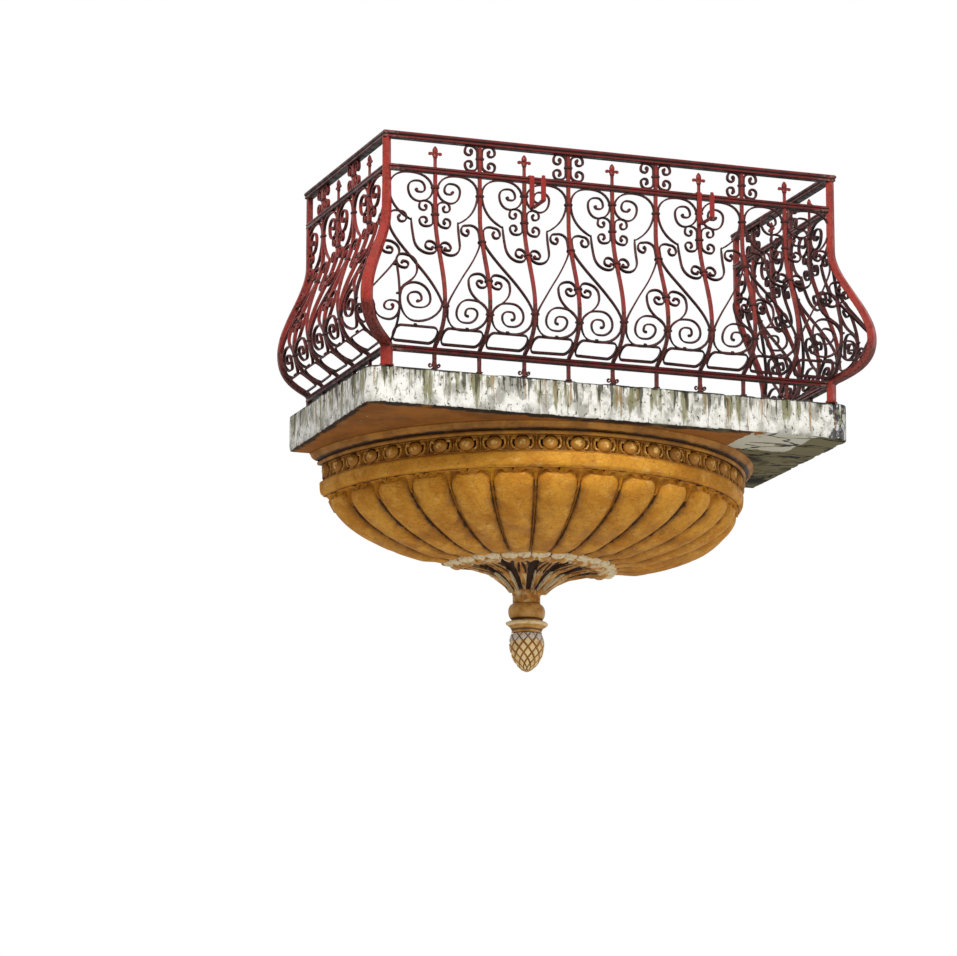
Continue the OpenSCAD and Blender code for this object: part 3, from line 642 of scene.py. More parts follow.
# The leaf cup: the same stucco, weathered to bare cream lime on every edge, with painted shade in the gaps, veins and
# hollows and under the rim
PALE_STUCCO = Finish("Bare_lime_stucco", "#C08A40", "#9C6322", 60, Feel(1.4, 0.75, 0.1, 5, 0.7, 30, 1.6), (
    StainOrPaintedLight("#D9C294", 34, 0.48, 0.62, 0.75),
    StainOrPaintedLight("#8C5418", 30, 0.56, 0.66, 0.6),
    # painted shade in the gaps, veins and hollows and under the rim
    StainOrPaintedLight("#7A4614", 70, 0.0, 0.62, 0.8, (HOLLOW,), 0.5),
    StainOrPaintedLight("#241206", 30, 0.16, 0.42, 0.95, (GROOVE,), 0.7),
    StainOrPaintedLight("#DCCBA6", 22, 0.30, 0.50, 0.9, (RIM,), 0.5, lift=0.3),
    StainOrPaintedLight("#8E7C5E", 14, 0.58, 0.66, 0.6, (RIM,), 0.3, lift=-0.3),
))


# ---------------------------------------------------------------- the railing's plan

@dataclass(frozen=True)
class Belly:
    """The profile that the whole railing follows: how far it stands out at each drop from its top."""

    out: float = 127.0
    fullest: float = 736.0
    start: float = 335.0
    foot: float = 906.0
    foot_in: float = 5.0
    foot_bend: float = 14.0

    def curve(self) -> Array:
        """The profile as fine points [out, drop]."""
        full, at, inner = self.out, self.fullest, -self.foot_in
        rise, back = at - self.start, self.foot - at
        bend = [self.foot_bend + inner, self.foot - self.foot_bend / 2]
        return joined(
            [[0, 0], [0, self.start]],
            ([0, self.start + rise * 0.32], [full, at - rise * 0.33], [full, at], 24),
            ([full, at + back * 0.56], [(full - inner) * 0.62 + inner, self.foot - back * 0.24], bend, 18),
            ([self.foot_bend * 0.43 + inner, self.foot - 1], [inner, self.foot + 4],
             [inner, self.foot + self.foot_bend], 4),
            [[inner, RAIL_HEIGHT]])

    def out_at(self, drop: Any) -> Array:
        """How far the belly stands out at some drops."""
        curve = self.curve()
        return np.interp(drop, curve[:, 1], curve[:, 0])

    def normal_at(self, drop: Array) -> Array:
        """The belly's outward normals at some drops, as [out, up]."""
        step = 2.0
        slope = (self.out_at(np.asarray(drop) + step) - self.out_at(np.asarray(drop) - step)) / (2 * step)
        return columns(1, slope) / np.sqrt(1 + slope * slope)[..., None]


@dataclass(frozen=True)
class Side:
    """One side of the railing: where its first bay begins in plan, the way it runs, and the way out."""

    name: str
    start: tuple[float, float]
    along: tuple[float, float]
    outward: tuple[float, float]
    bays: int = 0
    pitch: float = 0.0

    def place(self, x: Any, out: Any, drop: Any) -> Array:
        """Points of the side in the part's frame.

        Args:
            x: Distances along the side.
            out: Distances out from its plane.
            drop: Distances down from the railing's top.

        Returns:
            An array of shape (n, 3).
        """
        return self.turn(x, out, -drop) + [*self.start, TOP_Z]

    def turn(self, across: Any, out: Any, up: Any) -> Array:
        """Directions of the side in the part's frame."""
        return columns(self.along[0] * across + self.outward[0] * out, self.along[1] * across + self.outward[1] * out,
                       up)

    def at_corner(self, bay: int) -> bool:
        """Whether a bay stands at a corner post."""
        return bay == 0 or (bay == self.bays - 1 and self.bays % 2 == 0)

    def bar_at(self, bar: int) -> float:
        """The place of a bar along the side; bar 0 is the corner post."""
        return bar * self.pitch + (CORNER_GAP if bar else 0.0)

    def bay_width(self, bay: int) -> float:
        """The width of a bay from axis to axis."""
        return self.pitch + (CORNER_GAP if self.at_corner(bay) else 0.0)


SIDES = (
    Side("front", (-HALF_WIDTH, -REACH), (1, 0), (0, -1), 10, (2 * HALF_WIDTH - 2 * CORNER_GAP) / 10),
    Side("left", (-HALF_WIDTH, -REACH), (0, 1), (-1, 0), 5, (REACH - CORNER_GAP) / 5),
    Side("right", (HALF_WIDTH, -REACH), (0, 1), (1, 0), 5, (REACH - CORNER_GAP) / 5),
)


@dataclass(frozen=True)
class Sheet:
    """The scroll pattern of one bay, drawn from the finial bar's axis and the second rail's underside."""

    width: float = 200.0
    height: float = 736.0
    edge: float = 9.5
    top: float = 168.0
    panel: float = 738.0

    def down(self, v: Any) -> Any:
        """The drop of a height on the sheet."""
        return self.top + v * self.panel / self.height

    def large(self) -> Array:
        """The large scroll, from the middle of the bay up the full bar, over and round to its eye."""
        e, w = self.edge, self.width
        return joined([[100, 205]], ([132, 189], [w - e, 149], [w - e, 69], 12),
                      volute([100, 69], [100 - e, 67, 100 - e], 0, -1),
                      volute([68, 67], [68 - e, 55, 44, 31, 26, 15, 9], 180, -1))

    def hanger(self) -> Array:
        """The J scroll that hangs from the large scroll's foot and turns to the finial bar."""
        e = self.edge
        return joined([[100, 199], [98, 295]], ([97, 372], [e, 375], [e, 325], 14),
                      volute([34, 324], [34 - e, 25, 21, 12, 5], 180, 1))

    def ess(self, corner: bool) -> Array:
        """The S scroll, which sits a little higher in a bay at a corner."""
        eye, low, radii = ((141.0, 199.0), (118.0, 571.0), [88, 67, 70, 57, 37, 36, 28, 21, 8]) if corner else (
            (134.0, 238.0), (107.0, 615.0), [62, 84, 58, 56, 36, 38, 22, 16, 8])
        side = self.width - self.edge
        return joined(volute(eye, [7, 12, 18, 21, 27, side - eye[0]], -90, 1), [[side, eye[1] + 44]],
                      ([side - 6.5, eye[1] + 109], [20, 527], [self.edge, 592], 16),
                      volute(low, [low[0] - self.edge] + radii, 180, -1))

    def heart(self, corner: bool) -> Array:
        """Half of the heart on a full bar, measured from that bar; at a corner it stands on a thin upright."""
        e = self.edge
        path = joined([[e, 610]], ([e + 2, 567], [91, 562], [91, 489], 12),
                      volute([38, 479], [53, 44, 38 - e, 21, 18, 10, 5], 0, -1))
        return path + [15 - e, -63] if corner else path

    def cee(self, middle: float, half: float) -> Array:
        """A C scroll whose back lies on the bar, its eyes half above and below its middle."""
        radii = [46 - self.edge, 26, 20, 15, 9, 5]
        upper = volute([46, -half], radii, 180, 1)[::-1]
        lower = volute([46, half], radii, 180, -1)
        return joined(upper, [[self.edge, -half], [self.edge, half]], lower) + [0, middle]

    def oval(self) -> Array:
        """The middle line of the oval ring between two bars."""
        top, bottom, r = 676.5, 725.5, 22.5
        left, right = self.edge + 2.5 + r, self.width - self.edge - 2.5 - r
        turns = ((right, top + r, -90), (right, bottom - r, 0), (left, bottom - r, 90), (left, top + r, 180))
        return joined(*[[[x + r * math.cos(math.radians(a + s)), y + r * math.sin(math.radians(a + s))]
                         for s in range(0, 91, 15)] for x, y, a in turns])

    def filler(self) -> Array:
        """The scroll between a corner's thin upright and the bend of its post, as [outward, down]."""
        return joined(volute([8, 354], [6, 9, 13, 19, 29, 41, 41], 0, -1),
                      bezier([-33, 354], [-33, 390], [20, 450], [105, 547], 12),
                      ([113, 570], [92, 590], [87, 610], 5),
                      volute([21, 610], [66, 52, 36, 23, 26, 14, 9, 5], 0, 1))


def rail_section(half: float, rise: float, step: int, lower: Sequence[Numbers]) -> Array:
    """A rail's section: an arch over mouldings.

    Args:
        half: Half the arch's width.
        rise: Its height.
        step: The degrees from one point of the arch to the next.
        lower: The left half's mouldings, from the arch down.

    Returns:
        Points as [across, up from the rail's top].
    """
    turns = [math.radians(a) for a in range(0, 181, step)]
    arch = [[half * math.cos(a), -rise + rise * math.sin(a)] for a in turns]
    return np.array([*arch, *lower, *([-x, z] for x, z in lower[::-1])])


class End(Enum):
    """How the end of a strip is forged: drawn out flat against its bar, or curled into a snub."""

    DRAWN = "drawn"
    SNUB = "snub"


# ---------------------------------------------------------------- the railing

class Ironwork(Skin):
    """The mesh of one iron piece, worked on one side of the railing at a time."""

    BAND_POWER = 0.45  # how round a collar's corners are; less is squarer
    BAND_ROWS = ((-0.5, 1.8), (-0.4, 0.4), (-0.12, 0.0), (0.0, 0.5), (0.12, 0.0), (0.4, 0.4), (0.5, 1.8))

    def __init__(self, belly: Belly, side: Side) -> None:
        """Starts an empty piece on a side."""
        super().__init__()
        self.belly, self.side = belly, side

    def lay(self, path: Array, stock: Stock, ring: bool = False) -> None:
        """Sweeps a bar along a path on the belly, given as [along the side, drop]."""
        x, drop = path.T
        n = self.belly.normal_at(drop)
        points = self.side.place(x, self.belly.out_at(drop), drop)
        sweep(self, points, self.side.turn(0, n[:, 0], n[:, 1]), stock, ring)

    def pair(self, x: float, out: float, curl: Array, stock: Stock) -> None:
        """Sweeps the same upright curl to both sides of a bar.

        Args:
            x: The bar's place along the side.
            out: How far out the curls stand.
            curl: Their middle line as [from the bar, drop].
            stock: Their section.
        """
        for way in (1, -1):
            path = self.side.place(x + way * curl[:, 0], out, curl[:, 1])
            sweep(self, path, self.side.turn(0, np.ones(len(curl)), 0), stock)

    def band(self, x: float, drop: float, size: Numbers, widen: float = 1.0) -> None:
        """Puts on a collar with soft edges, square to the belly.

        Args:
            x: Its place along the side.
            drop: Its drop.
            size: Its size along the side, through the belly and down it.
            widen: How much the belly is stretched outward here.
        """
        side, (width, depth, height) = self.side, size
        n = self.belly.normal_at(np.array([drop]))[0]
        normal, down = side.turn(0, n[0], n[1]), side.turn(0, n[1], -n[0])
        centre = side.place(x, float(self.belly.out_at(drop)) * widen, drop)
        a = np.radians(np.arange(0, 360, 30) + 15)
        soft = columns(*(np.sign(c) * np.abs(c) ** self.BAND_POWER for c in (np.cos(a), np.sin(a))))
        rows = []
        for at, inset in self.BAND_ROWS:  # the part of its height, and how far it draws in there
            rows.append(centre + side.turn(1, 0, 0) * (soft[:, :1] * (width / 2 - inset)) + normal * (
                soft[:, 1:] * (depth / 2 - inset)) + down * (at * height))
        self.grid(np.stack(rows))

    def fit(self, name: str, finish: Material, *nodes: str) -> None:
        """Makes the piece in red iron and puts it on the frame."""
        fitted_piece(self.piece(name, finish), "red_iron", *nodes)


@dataclass
class Railing:
    """The iron railing: bars, posts, rails, scrollwork, collars, finials and hooks.

    A collar, a tie or a foot block gives its size along the side, through the belly and down it.
    """

    belly: Belly = field(default_factory=Belly)
    sheet: Sheet = field(default_factory=Sheet)
    bar: float = 15.0
    bar_ease: float = 1.8
    bar_sway: float = 0.8  # how far a bar wanders from its line, and over what length
    bar_sway_length: float = 130.0
    hammered: float = 0.5  # how much a bar's width changes, and over what length
    hammered_length: float = 47.0
    strip_width: float = 7.0
    strip_depth: float = 14.0
    frieze_strip_width: float = 8.75
    snub_swell: float = 1.1  # how much wider a strip is at a snub, and over what length
    snub_length: float = 12.0
    drawn_width: float = 0.4  # how narrow a strip gets at a drawn end, and over what length
    drawn_length: float = 45.0
    clearance: float = 2.0  # how far a strip's middle line stays off the face of a bar
    post: float = 28.0
    post_widths: tuple[Numbers, Numbers] = ((0, 169, 294, 493, 707), (28, 29, 33.4, 37.9, 46))  # at some drops
    post_ease: float = 2.6
    wall_post: float = 24.0
    wobble: float = 1.1
    collar: Numbers = (36.0, 23.0, 10.0)
    upright_collar: Numbers = (24.0, 15.0, 8.0)
    oval_tie: Numbers = (15.0, 15.0, 11.0)
    bar_foot: Numbers = (26.0, 26.0, 6.0)
    corner_foot: Numbers = (56.0, 42.0, 8.0)
    wall_foot: Numbers = (33.0, 34.0, 8.0)
    collar_heights: tuple[Numbers, Numbers] = ((78, 282, 466, 611), (59, 174, 326, 592))  # on full and finial bars
    frieze_collar: float = 86.0
    rng: np.random.Generator = field(default_factory=lambda: np.random.default_rng(41))

    def build(self, iron: Material, post: Material, rail: Material, strip: Material, strap: Material) -> None:
        """Builds and dresses every piece of the railing.

        Args:
            iron: The finish of bars, finials and wall posts, and of the left side's scrolls, lighter there as painted
                light for the lit side.
            post: The finish of the corner posts, a lighter copy of the iron's as painted light.
            rail: The finish of the rails.
            strip: The finish of the other scrolls and of the collars, a darker copy as painted shade.
            strap: The finish of the flower box hooks.
        """
        for side in SIDES:
            self._bars(side, iron)
            # the left side's scrolls take the lighter iron finish as painted light, the other sides' the darker strip
            # finish as painted shade
            face = iron if side.name == "left" else strip
            self._scrolls(side, face)
            self._ovals(side, face)
            self._collars(side, strip)
        self._corner_fillers(strip)
        self._posts(post, iron)
        self._rails(rail)
        self._hooks(strap)

    # -- strips

    def _hand(self, path: Array) -> Array:
        """A path with the small unevenness of hand forging."""
        s = lengths(path)
        phase = self.rng.uniform(0, 2 * np.pi, (2, 2))
        swing = columns(np.sin(s / 61 + phase[0, 0]) + 0.5 * np.sin(s / 23 + phase[0, 1]),
                        np.sin(s / 53 + phase[1, 0]) + 0.5 * np.sin(s / 29 + phase[1, 1]))
        return path + self.wobble / 1.5 * swing

    def _strip(self, work: Ironwork, path: Array, ends: tuple[End, End], wide: float = 0.0) -> None:
        """Lays a forged strip on the belly.

        Args:
            work: The piece that it goes into.
            path: Its middle line as [along the side, drop].
            ends: How its two ends are forged.
            wide: Its width, or 0 for the usual.
        """
        path = densified(path)
        s = lengths(path)
        path = self._hand(path)
        width = np.full(len(path), wide or self.strip_width)
        for end, d in zip(ends, (s, s[-1] - s)):
            if end is End.SNUB:
                width *= (1 + self.snub_swell * hump(d, 0, self.snub_length)) * np.sqrt(np.clip(d / 4, 0.06, 1))
            else:
                width *= np.clip(self.drawn_width + d / self.drawn_length, self.drawn_width, 1)
        work.lay(path, Stock(width, self.strip_depth))

    def _bay_path(self, side: Side, bay: int, path: Array, from_full: bool = False) -> Array:
        """A sheet path placed in a bay.

        Args:
            side: The side of the railing.
            bay: The bay's number.
            path: Points of the sheet.
            from_full: Whether the path is drawn from the full bar.

        Returns:
            Points as [along the side, drop].
        """
        touch, wide = self.bar / 2 + self.clearance, side.bay_width(bay)
        u = touch + (path[:, 0] - self.sheet.edge) * (wide - 2 * touch) / (self.sheet.width - 2 * self.sheet.edge)
        finial_left = bay % 2 == 1
        return columns(side.bar_at(bay) + (u if finial_left != from_full else wide - u), self.sheet.down(path[:, 1]))

    def _scrolls(self, side: Side, finish: Material) -> None:
        """The large, S, heart and small scrolls of one side."""
        sheet, drawn, snub = self.sheet, End.DRAWN, End.SNUB
        works = {label: Ironwork(self.belly, side) for label in ("large_scrolls", "s_scrolls", "heart_scrolls",
                                                                 "small_scrolls")}
        for bay in range(side.bays):
            corner = side.at_corner(bay)
            for label, path, first in (
                    ("large_scrolls", sheet.large(), drawn), ("large_scrolls", sheet.hanger(), drawn),
                    ("s_scrolls", sheet.ess(corner), snub), ("heart_scrolls", sheet.heart(corner), drawn),
                    ("small_scrolls", sheet.cee(174, 30), snub)):
                placed = self._bay_path(side, bay, path, from_full=label == "heart_scrolls")
                self._strip(works[label], placed, (first, snub))
        frieze = sheet.cee(self.frieze_collar, 28)
        for i in range(2, side.bays, 2):
            for way in (1, -1):
                self._strip(works["small_scrolls"], frieze * [way, 1] + [side.bar_at(i), 0], (snub, snub),
                            self.frieze_strip_width)
        for label, work in works.items():
            work.fit(f"forged_{label}_{side.name}", finish, f"{label}_{side.name}")

    def _ovals(self, side: Side, finish: Material) -> None:
        """The oval rings over the bottom rail, each with the small tie that holds it to the scroll above."""
        work = Ironwork(self.belly, side)
        for bay in range(side.bays):
            path = self._hand(self._bay_path(side, bay, self.sheet.oval()))
            work.lay(path, Stock(self.strip_width, self.strip_depth), ring=True)
            x, drop = self._bay_path(side, bay, np.array([[110.0, 673.0]]))[0]
            work.band(x, drop, self.oval_tie)
        work.fit(f"oval_rings_{side.name}", finish, f"ovals_{side.name}")

    def _corner_fillers(self, finish: Material) -> None:
        """The S scrolls and thin uprights that fill the belly's bend at both corners."""
        mirrored = Side("front_right", (HALF_WIDTH, -REACH), (-1, 0), (0, -1))
        work = Ironwork(self.belly, mirrored)
        drawn_out = 117  # how far the belly stands out on the sheet that the filler is drawn on
        path = self.sheet.filler()
        run = columns(-path[:, 0] * self.belly.out / drawn_out, self.sheet.down(path[:, 1]))
        upright = np.array([[15.0, self.sheet.down(400.0)], [15.0, 912.0]])
        for side in (SIDES[0], mirrored, SIDES[1], SIDES[2]):
            work.side = side
            self._strip(work, run, (End.SNUB, End.SNUB))
            self._strip(work, upright, (End.DRAWN, End.DRAWN))
            for v in (424.0, 555.0):
                work.band(11.0, self.sheet.down(v), self.upright_collar)
        work.fit("forged_corner_scrolls", finish, "corner_scrolls")

    # -- bars, posts and rails

    def _profile(self, top: float) -> Array:
        """The belly's profile from a drop down, as evenly fine points [out, drop]."""
        curve = self.belly.curve()
        return densified(joined([[0, top]], curve[curve[:, 1] > top + 1]), 30)

    def _bars(self, side: Side, finish: Material) -> None:
        """The bars of one side, with their finials and the curls at their feet."""
        work = Ironwork(self.belly, side)
        for i in range(1, side.bays):
            finial, at = i % 2 == 1, side.bar_at(i)
            drop = self._profile(FRIEZE_DROP + 6 if finial else 20)[:, 1]
            x = at + self.bar_sway * np.sin(drop / self.bar_sway_length + self.rng.uniform(0, 6))
            width = self.bar + self.hammered * np.sin(drop / self.hammered_length + i)
            work.lay(columns(x, drop), Stock(width, self.bar, self.bar_ease))
            if finial:
                self._finial(work, at)
                self._foot_curls(work, at)
            work.band(at, RAIL_HEIGHT - 3.0, self.bar_foot)
        work.fit(f"forged_bars_{side.name}", finish, f"bars_{side.name}")

    def _finial(self, work: Ironwork, x: float) -> None:
        """A pointed bud over two arms that curl down to knobs, on a stem that stands on the second rail."""
        tip, flatness = FRIEZE_DROP - 91.0, 0.72
        outline = ((0, 1.5), (2, 4.0), (7, 8.0), (13, 11.0), (19, 12.4), (25, 11.8), (32, 9.4), (38, 8.6),
                   (42, 10.8), (47, 11.0), (51, 8.4), (58, 7.6), (70, 7.6), (85, 7.9), (96, 8.2))
        angle = np.radians(np.arange(0, 360, 36))
        work.grid(np.stack([work.side.place(x + r * np.cos(angle), flatness * r * np.sin(angle), tip + d)
                            for d, r in outline]))
        arm = bezier([2, 44], [9, 31], [20, 28], [28, 38], 12)
        s = lengths(arm) / lengths(arm)[-1]
        thick = (11.0 + 4.0 * smoothstep(0.5, 0.85, s)) * np.sqrt(np.clip((1 - s) / 0.16, 0.05, 1))
        work.pair(x, 0.0, arm + [0, tip], Stock(thick, 8.0, 1.8))

    def _foot_curls(self, work: Ironwork, x: float) -> None:
        """Two small curls that spread from a bar's foot onto the slab."""
        curl = joined([[6, 966]], ([8, 990], [20, 996], [24, 984], 7), ([25, 976], [17, 975], [16, 981], 4))
        s = lengths(curl) / lengths(curl)[-1]
        work.pair(x, -self.belly.foot_in, curl, Stock(5.0 + 3 * smoothstep(0.6, 0.95, s), 10.0, 1.5))

    def _posts(self, corner: Material, wall: Material) -> None:
        """The corner posts, forged wider across the diagonal at the belly, and the posts at the wall."""
        out, drop = self._profile(6).T
        normal = self.belly.normal_at(drop)
        wide = np.interp(drop, *self.post_widths)
        stretch = math.sqrt(2)  # the belly seen across the corner
        for name, way in (("left", -1), ("right", 1)):
            diagonal = Side(name, (way * HALF_WIDTH, -REACH), (DIAGONAL, way * DIAGONAL), (way * DIAGONAL, -DIAGONAL))
            work = Ironwork(self.belly, diagonal)
            n = unit(columns(normal[:, 0] / stretch, normal[:, 1]))
            x = 0.7 * np.sin(drop / 140 + way)
            sweep(work, diagonal.place(x, out * stretch, drop), diagonal.turn(0, n[:, 0], n[:, 1]),
                  Stock(wide, self.post, self.post_ease))
            work.band(0.0, RAIL_HEIGHT - 4.0, self.corner_foot, stretch)
            work.fit(f"forged_corner_post_{name}", corner, f"corner_post_{name}")
        for side in SIDES[1:]:
            work = Ironwork(self.belly, side)
            work.lay(columns(REACH - 13.0, drop), Stock(self.wall_post, self.wall_post, self.post_ease))
            work.band(REACH - 17.0, RAIL_HEIGHT - 4.0, self.wall_foot)
            work.fit(f"forged_wall_post_{side.name}", wall, f"wall_post_{side.name}")

    def _rails(self, finish: Material) -> None:
        """The moulded top rail, mitred round the corners, and the second and bottom rails between the posts."""
        work = Ironwork(self.belly, SIDES[0])
        corners = np.array([[-HALF_WIDTH, 0], [-HALF_WIDTH, -REACH], [HALF_WIDTH, -REACH], [HALF_WIDTH, 0.0]])
        large = rail_section(22, 10, 15, [[-22, -15], [-20, -18.5], [-17, -19.5], [-16.5, -21], [-18, -22.5],
                                          [-19, -25], [-18.5, -30], [-16, -32]])
        self._moulding(work, corners, large, 0.0)
        work.fit("moulded_top_rail", finish, "top_rail_front", "top_rail_left", "top_rail_right")
        small = rail_section(13, 7, 20, [[-13, -10.5], [-11, -13], [-9.5, -14], [-11, -15.5], [-12.5, -18],
                                         [-12.5, -25], [-10.5, -28]])
        for label, drop, inset in (("second_rail", FRIEZE_DROP, 0.0),
                                   ("bottom_rail", self.belly.foot, self.belly.foot_in)):
            side, end, front = HALF_WIDTH - inset, HALF_WIDTH - inset - 10, inset - REACH
            for name, run in (("front", [[-end, front], [end, front]]),
                              ("left", [[-side, front + 10], [-side, 0]]),
                              ("right", [[side, front + 10], [side, 0]])):
                work = Ironwork(self.belly, SIDES[0])
                self._moulding(work, np.array(run, float), small, drop)
                work.fit(f"moulded_{label}_{name}", finish, f"{label}_{name}")

    def _moulding(self, skin: Skin, plan: Array, section: Array, drop: float) -> None:
        """Runs a moulded section along a plan line, with mitres at its corners.

        Args:
            skin: The mesh that it goes into.
            plan: The line's points in plan.
            section: The section as [across, up from the rail's top].
            drop: The drop of the rail's top.
        """
        step = unit(np.diff(plan, axis=0))
        across = columns(-step[:, 1], step[:, 0])
        rows = []
        for i in range(len(step)):
            long = float(np.linalg.norm(plan[i + 1] - plan[i]))
            for d in np.linspace(0, long, max(2, int(long / 70)))[0 if i == 0 else 1:]:
                at, way = plan[i] + step[i] * d, across[i]
                if d == long and i + 1 < len(step):
                    way = (across[i] + across[i + 1]) / (1 + float(np.dot(across[i], across[i + 1])))
                sag = 0.5 * math.sin(d / 170 + i + drop)
                rows.append(columns(at[0] + way[0] * section[:, 0], at[1] + way[1] * section[:, 0],
                                    TOP_Z - drop + section[:, 1] + min(0, sag)))
        skin.grid(np.stack(rows))

    # -- fittings

    def _collars(self, side: Side, finish: Material) -> None:
        """The collars that tie the scrolls to the bars of one side."""
        work = Ironwork(self.belly, side)
        for i in range(1, side.bays):
            drops = [self.sheet.down(v) for v in self.collar_heights[i % 2]]
            for drop in drops if i % 2 else [*drops, self.frieze_collar]:
                work.band(side.bar_at(i), drop, self.collar)
        work.fit(f"collars_tied_{side.name}", finish, f"collars_{side.name}")

    def _hooks(self, finish: Material) -> None:
        """The two strap hooks that hang over the second rail for a flower box."""
        half_rail, thick, rail_depth, reach, fall, lip = 13.0, 4.0, 28.0, 148.0, -143.0, -33.0
        near, over, far, low = half_rail + thick / 2, thick / 2, reach + thick / 2, fall + thick / 2
        line = np.array([[-near, -rail_depth], [-near, over], [near, over], [near, low], [far, low], [far, lip]])
        run, bend = [line[:1]], 7
        for a, b, c in zip(line[:-2], line[1:-1], line[2:]):
            before, after = (a - b) / np.linalg.norm(a - b), (c - b) / np.linalg.norm(c - b)
            run.append((b + before * bend)[None])
            run.append(bezier(b + before * bend, b + before * 3, b + after * 3, b + after * bend, 5))
        path = densified(np.vstack([*run, line[-1:]]), 25)
        tangent = unit(np.gradient(path, axis=0))
        s = lengths(path)
        wide = 22.0 * np.sqrt(np.clip(np.minimum(s, s[-1] - s) / 6, 0.3, 1))
        skin, front = Skin(), SIDES[0]
        for x in (-365.0, 391.0):
            sweep(skin, front.place(x + HALF_WIDTH, path[:, 0], FRIEZE_DROP - path[:, 1]),
                  front.turn(0, -tangent[:, 1], tangent[:, 0]), Stock(wide, thick, 0.8))
        fitted_piece(skin.piece("strap_hooks", finish), "hook_iron", "flower_box_hooks")


# ---------------------------------------------------------------- the slab

@dataclass
class Slab:
    """The stone slab, with rounded front corners and broken edges."""

    half_width: float = 1080.0
    depth: float = 1040.0
    thickness: float = 155.0
    corner: float = 70.0
    worn_edge: float = 26.0  # how far from an edge chips reach
    chip_depth: float = 13.0
    chip_size: float = 60.0
    rough_depth: float = 0.9
    rough_size: float = 46.0
    deck_depth: float = 0.8
    deck_size: float = 120.0
    ring_scales: tuple[float, ...] = (0.985, 0.96, 0.9, 0.8, 0.66, 0.5, 0.33, 0.16, 0.0)
    chips: Noise = field(default_factory=lambda: Noise(7))

    def _loop(self) -> Array:
        """The slab's outline in plan, from the wall round the front and back to the wall."""
        w, d, r = self.half_width, self.depth, self.corner
        turn = np.radians(np.arange(0, 91, 7.5))
        left = columns(-w + r - r * np.cos(turn), -d + r - r * np.sin(turn))
        return densified(joined([[-w, 0]], left, left[::-1] * [-1, 1], [[w, 0]]), 12)

    def _edge_rows(self) -> list[Array]:
        """The slab's upright faces from top to bottom, rough and with chipped edges."""
        loop, half = self._loop(), self.thickness / 2
        tangent = unit(np.gradient(loop, axis=0))
        inward = columns(-tangent[:, 1], tangent[:, 0])
        levels = np.concatenate([[half, half - 1.5], np.linspace(half - 6, 6 - half, 17), [1.5 - half, -half]])
        rows = []
        for z, back in zip(levels, (7.0, 2.0, *[0.0] * 17, 2.0, 7.0)):
            at = columns(loop[:, 0], loop[:, 1], z)
            edge = smoothstep(half - self.worn_edge, half, np.full(len(loop), abs(z)))
            broken = np.clip(self.chips.rough(at * [1, 1, 0.2] + 500, self.chip_size) - 0.05, 0, 1)
            chip = self.chip_depth * edge * broken ** 0.8
            rough = self.rough_depth + self.rough_depth * self.chips.rough(at, self.rough_size)
            at[:, :2] += (back + rough + chip)[:, None] * inward
            at[[0, -1], 1] = 0.0
            at[:, 2] -= np.sign(z) * edge * np.clip(chip - 2, 0, 9) * (abs(z) > half - 3)
            rows.append(at)
        return rows

    def _cover(self, rim: Array, z: float) -> list[Array]:
        """Rings that close the slab over or under its rim, slightly uneven."""
        middle, rings = -self.depth * 0.5, []
        for k in self.ring_scales:
            ring = rim.copy()
            ring[:, 0] = rim[:, 0] * k
            ring[:, 1] = np.where(rim[:, 1] > -1e-6, 0.0, middle + (rim[:, 1] - middle) * k)
            rough = self.chips.rough(ring + 900, self.deck_size)
            ring[:, 2] = z - np.sign(z) * (self.deck_depth + self.deck_depth * rough)
            rings.append(ring)
        return rings

    def build(self, side: Material, soffit: Material, deck: Material) -> None:
        """Builds the slab.

        Args:
            side: The finish of its upright faces.
            soffit: The finish of its underside.
            deck: The finish of its top.
        """
        rows, half = self._edge_rows(), self.thickness / 2
        skin = Skin()
        skin.grid(np.stack([*self._cover(rows[0], half)[::-1], *rows, *self._cover(rows[-1], -half)]), caps=False)
        obj = skin.piece("weathered_slab", side, 50)
        obj.data.materials.append(soffit)
        obj.data.materials.append(deck)
        for face in obj.data.polygons:
            if abs(face.normal.z) > 0.75:
                face.material_index = 2 if face.normal.z > 0 else 1
        fitted_piece(obj, "slab_stone", "slab")


# ---------------------------------------------------------------- the corbel

Carving = tuple[Any, Any, Any]


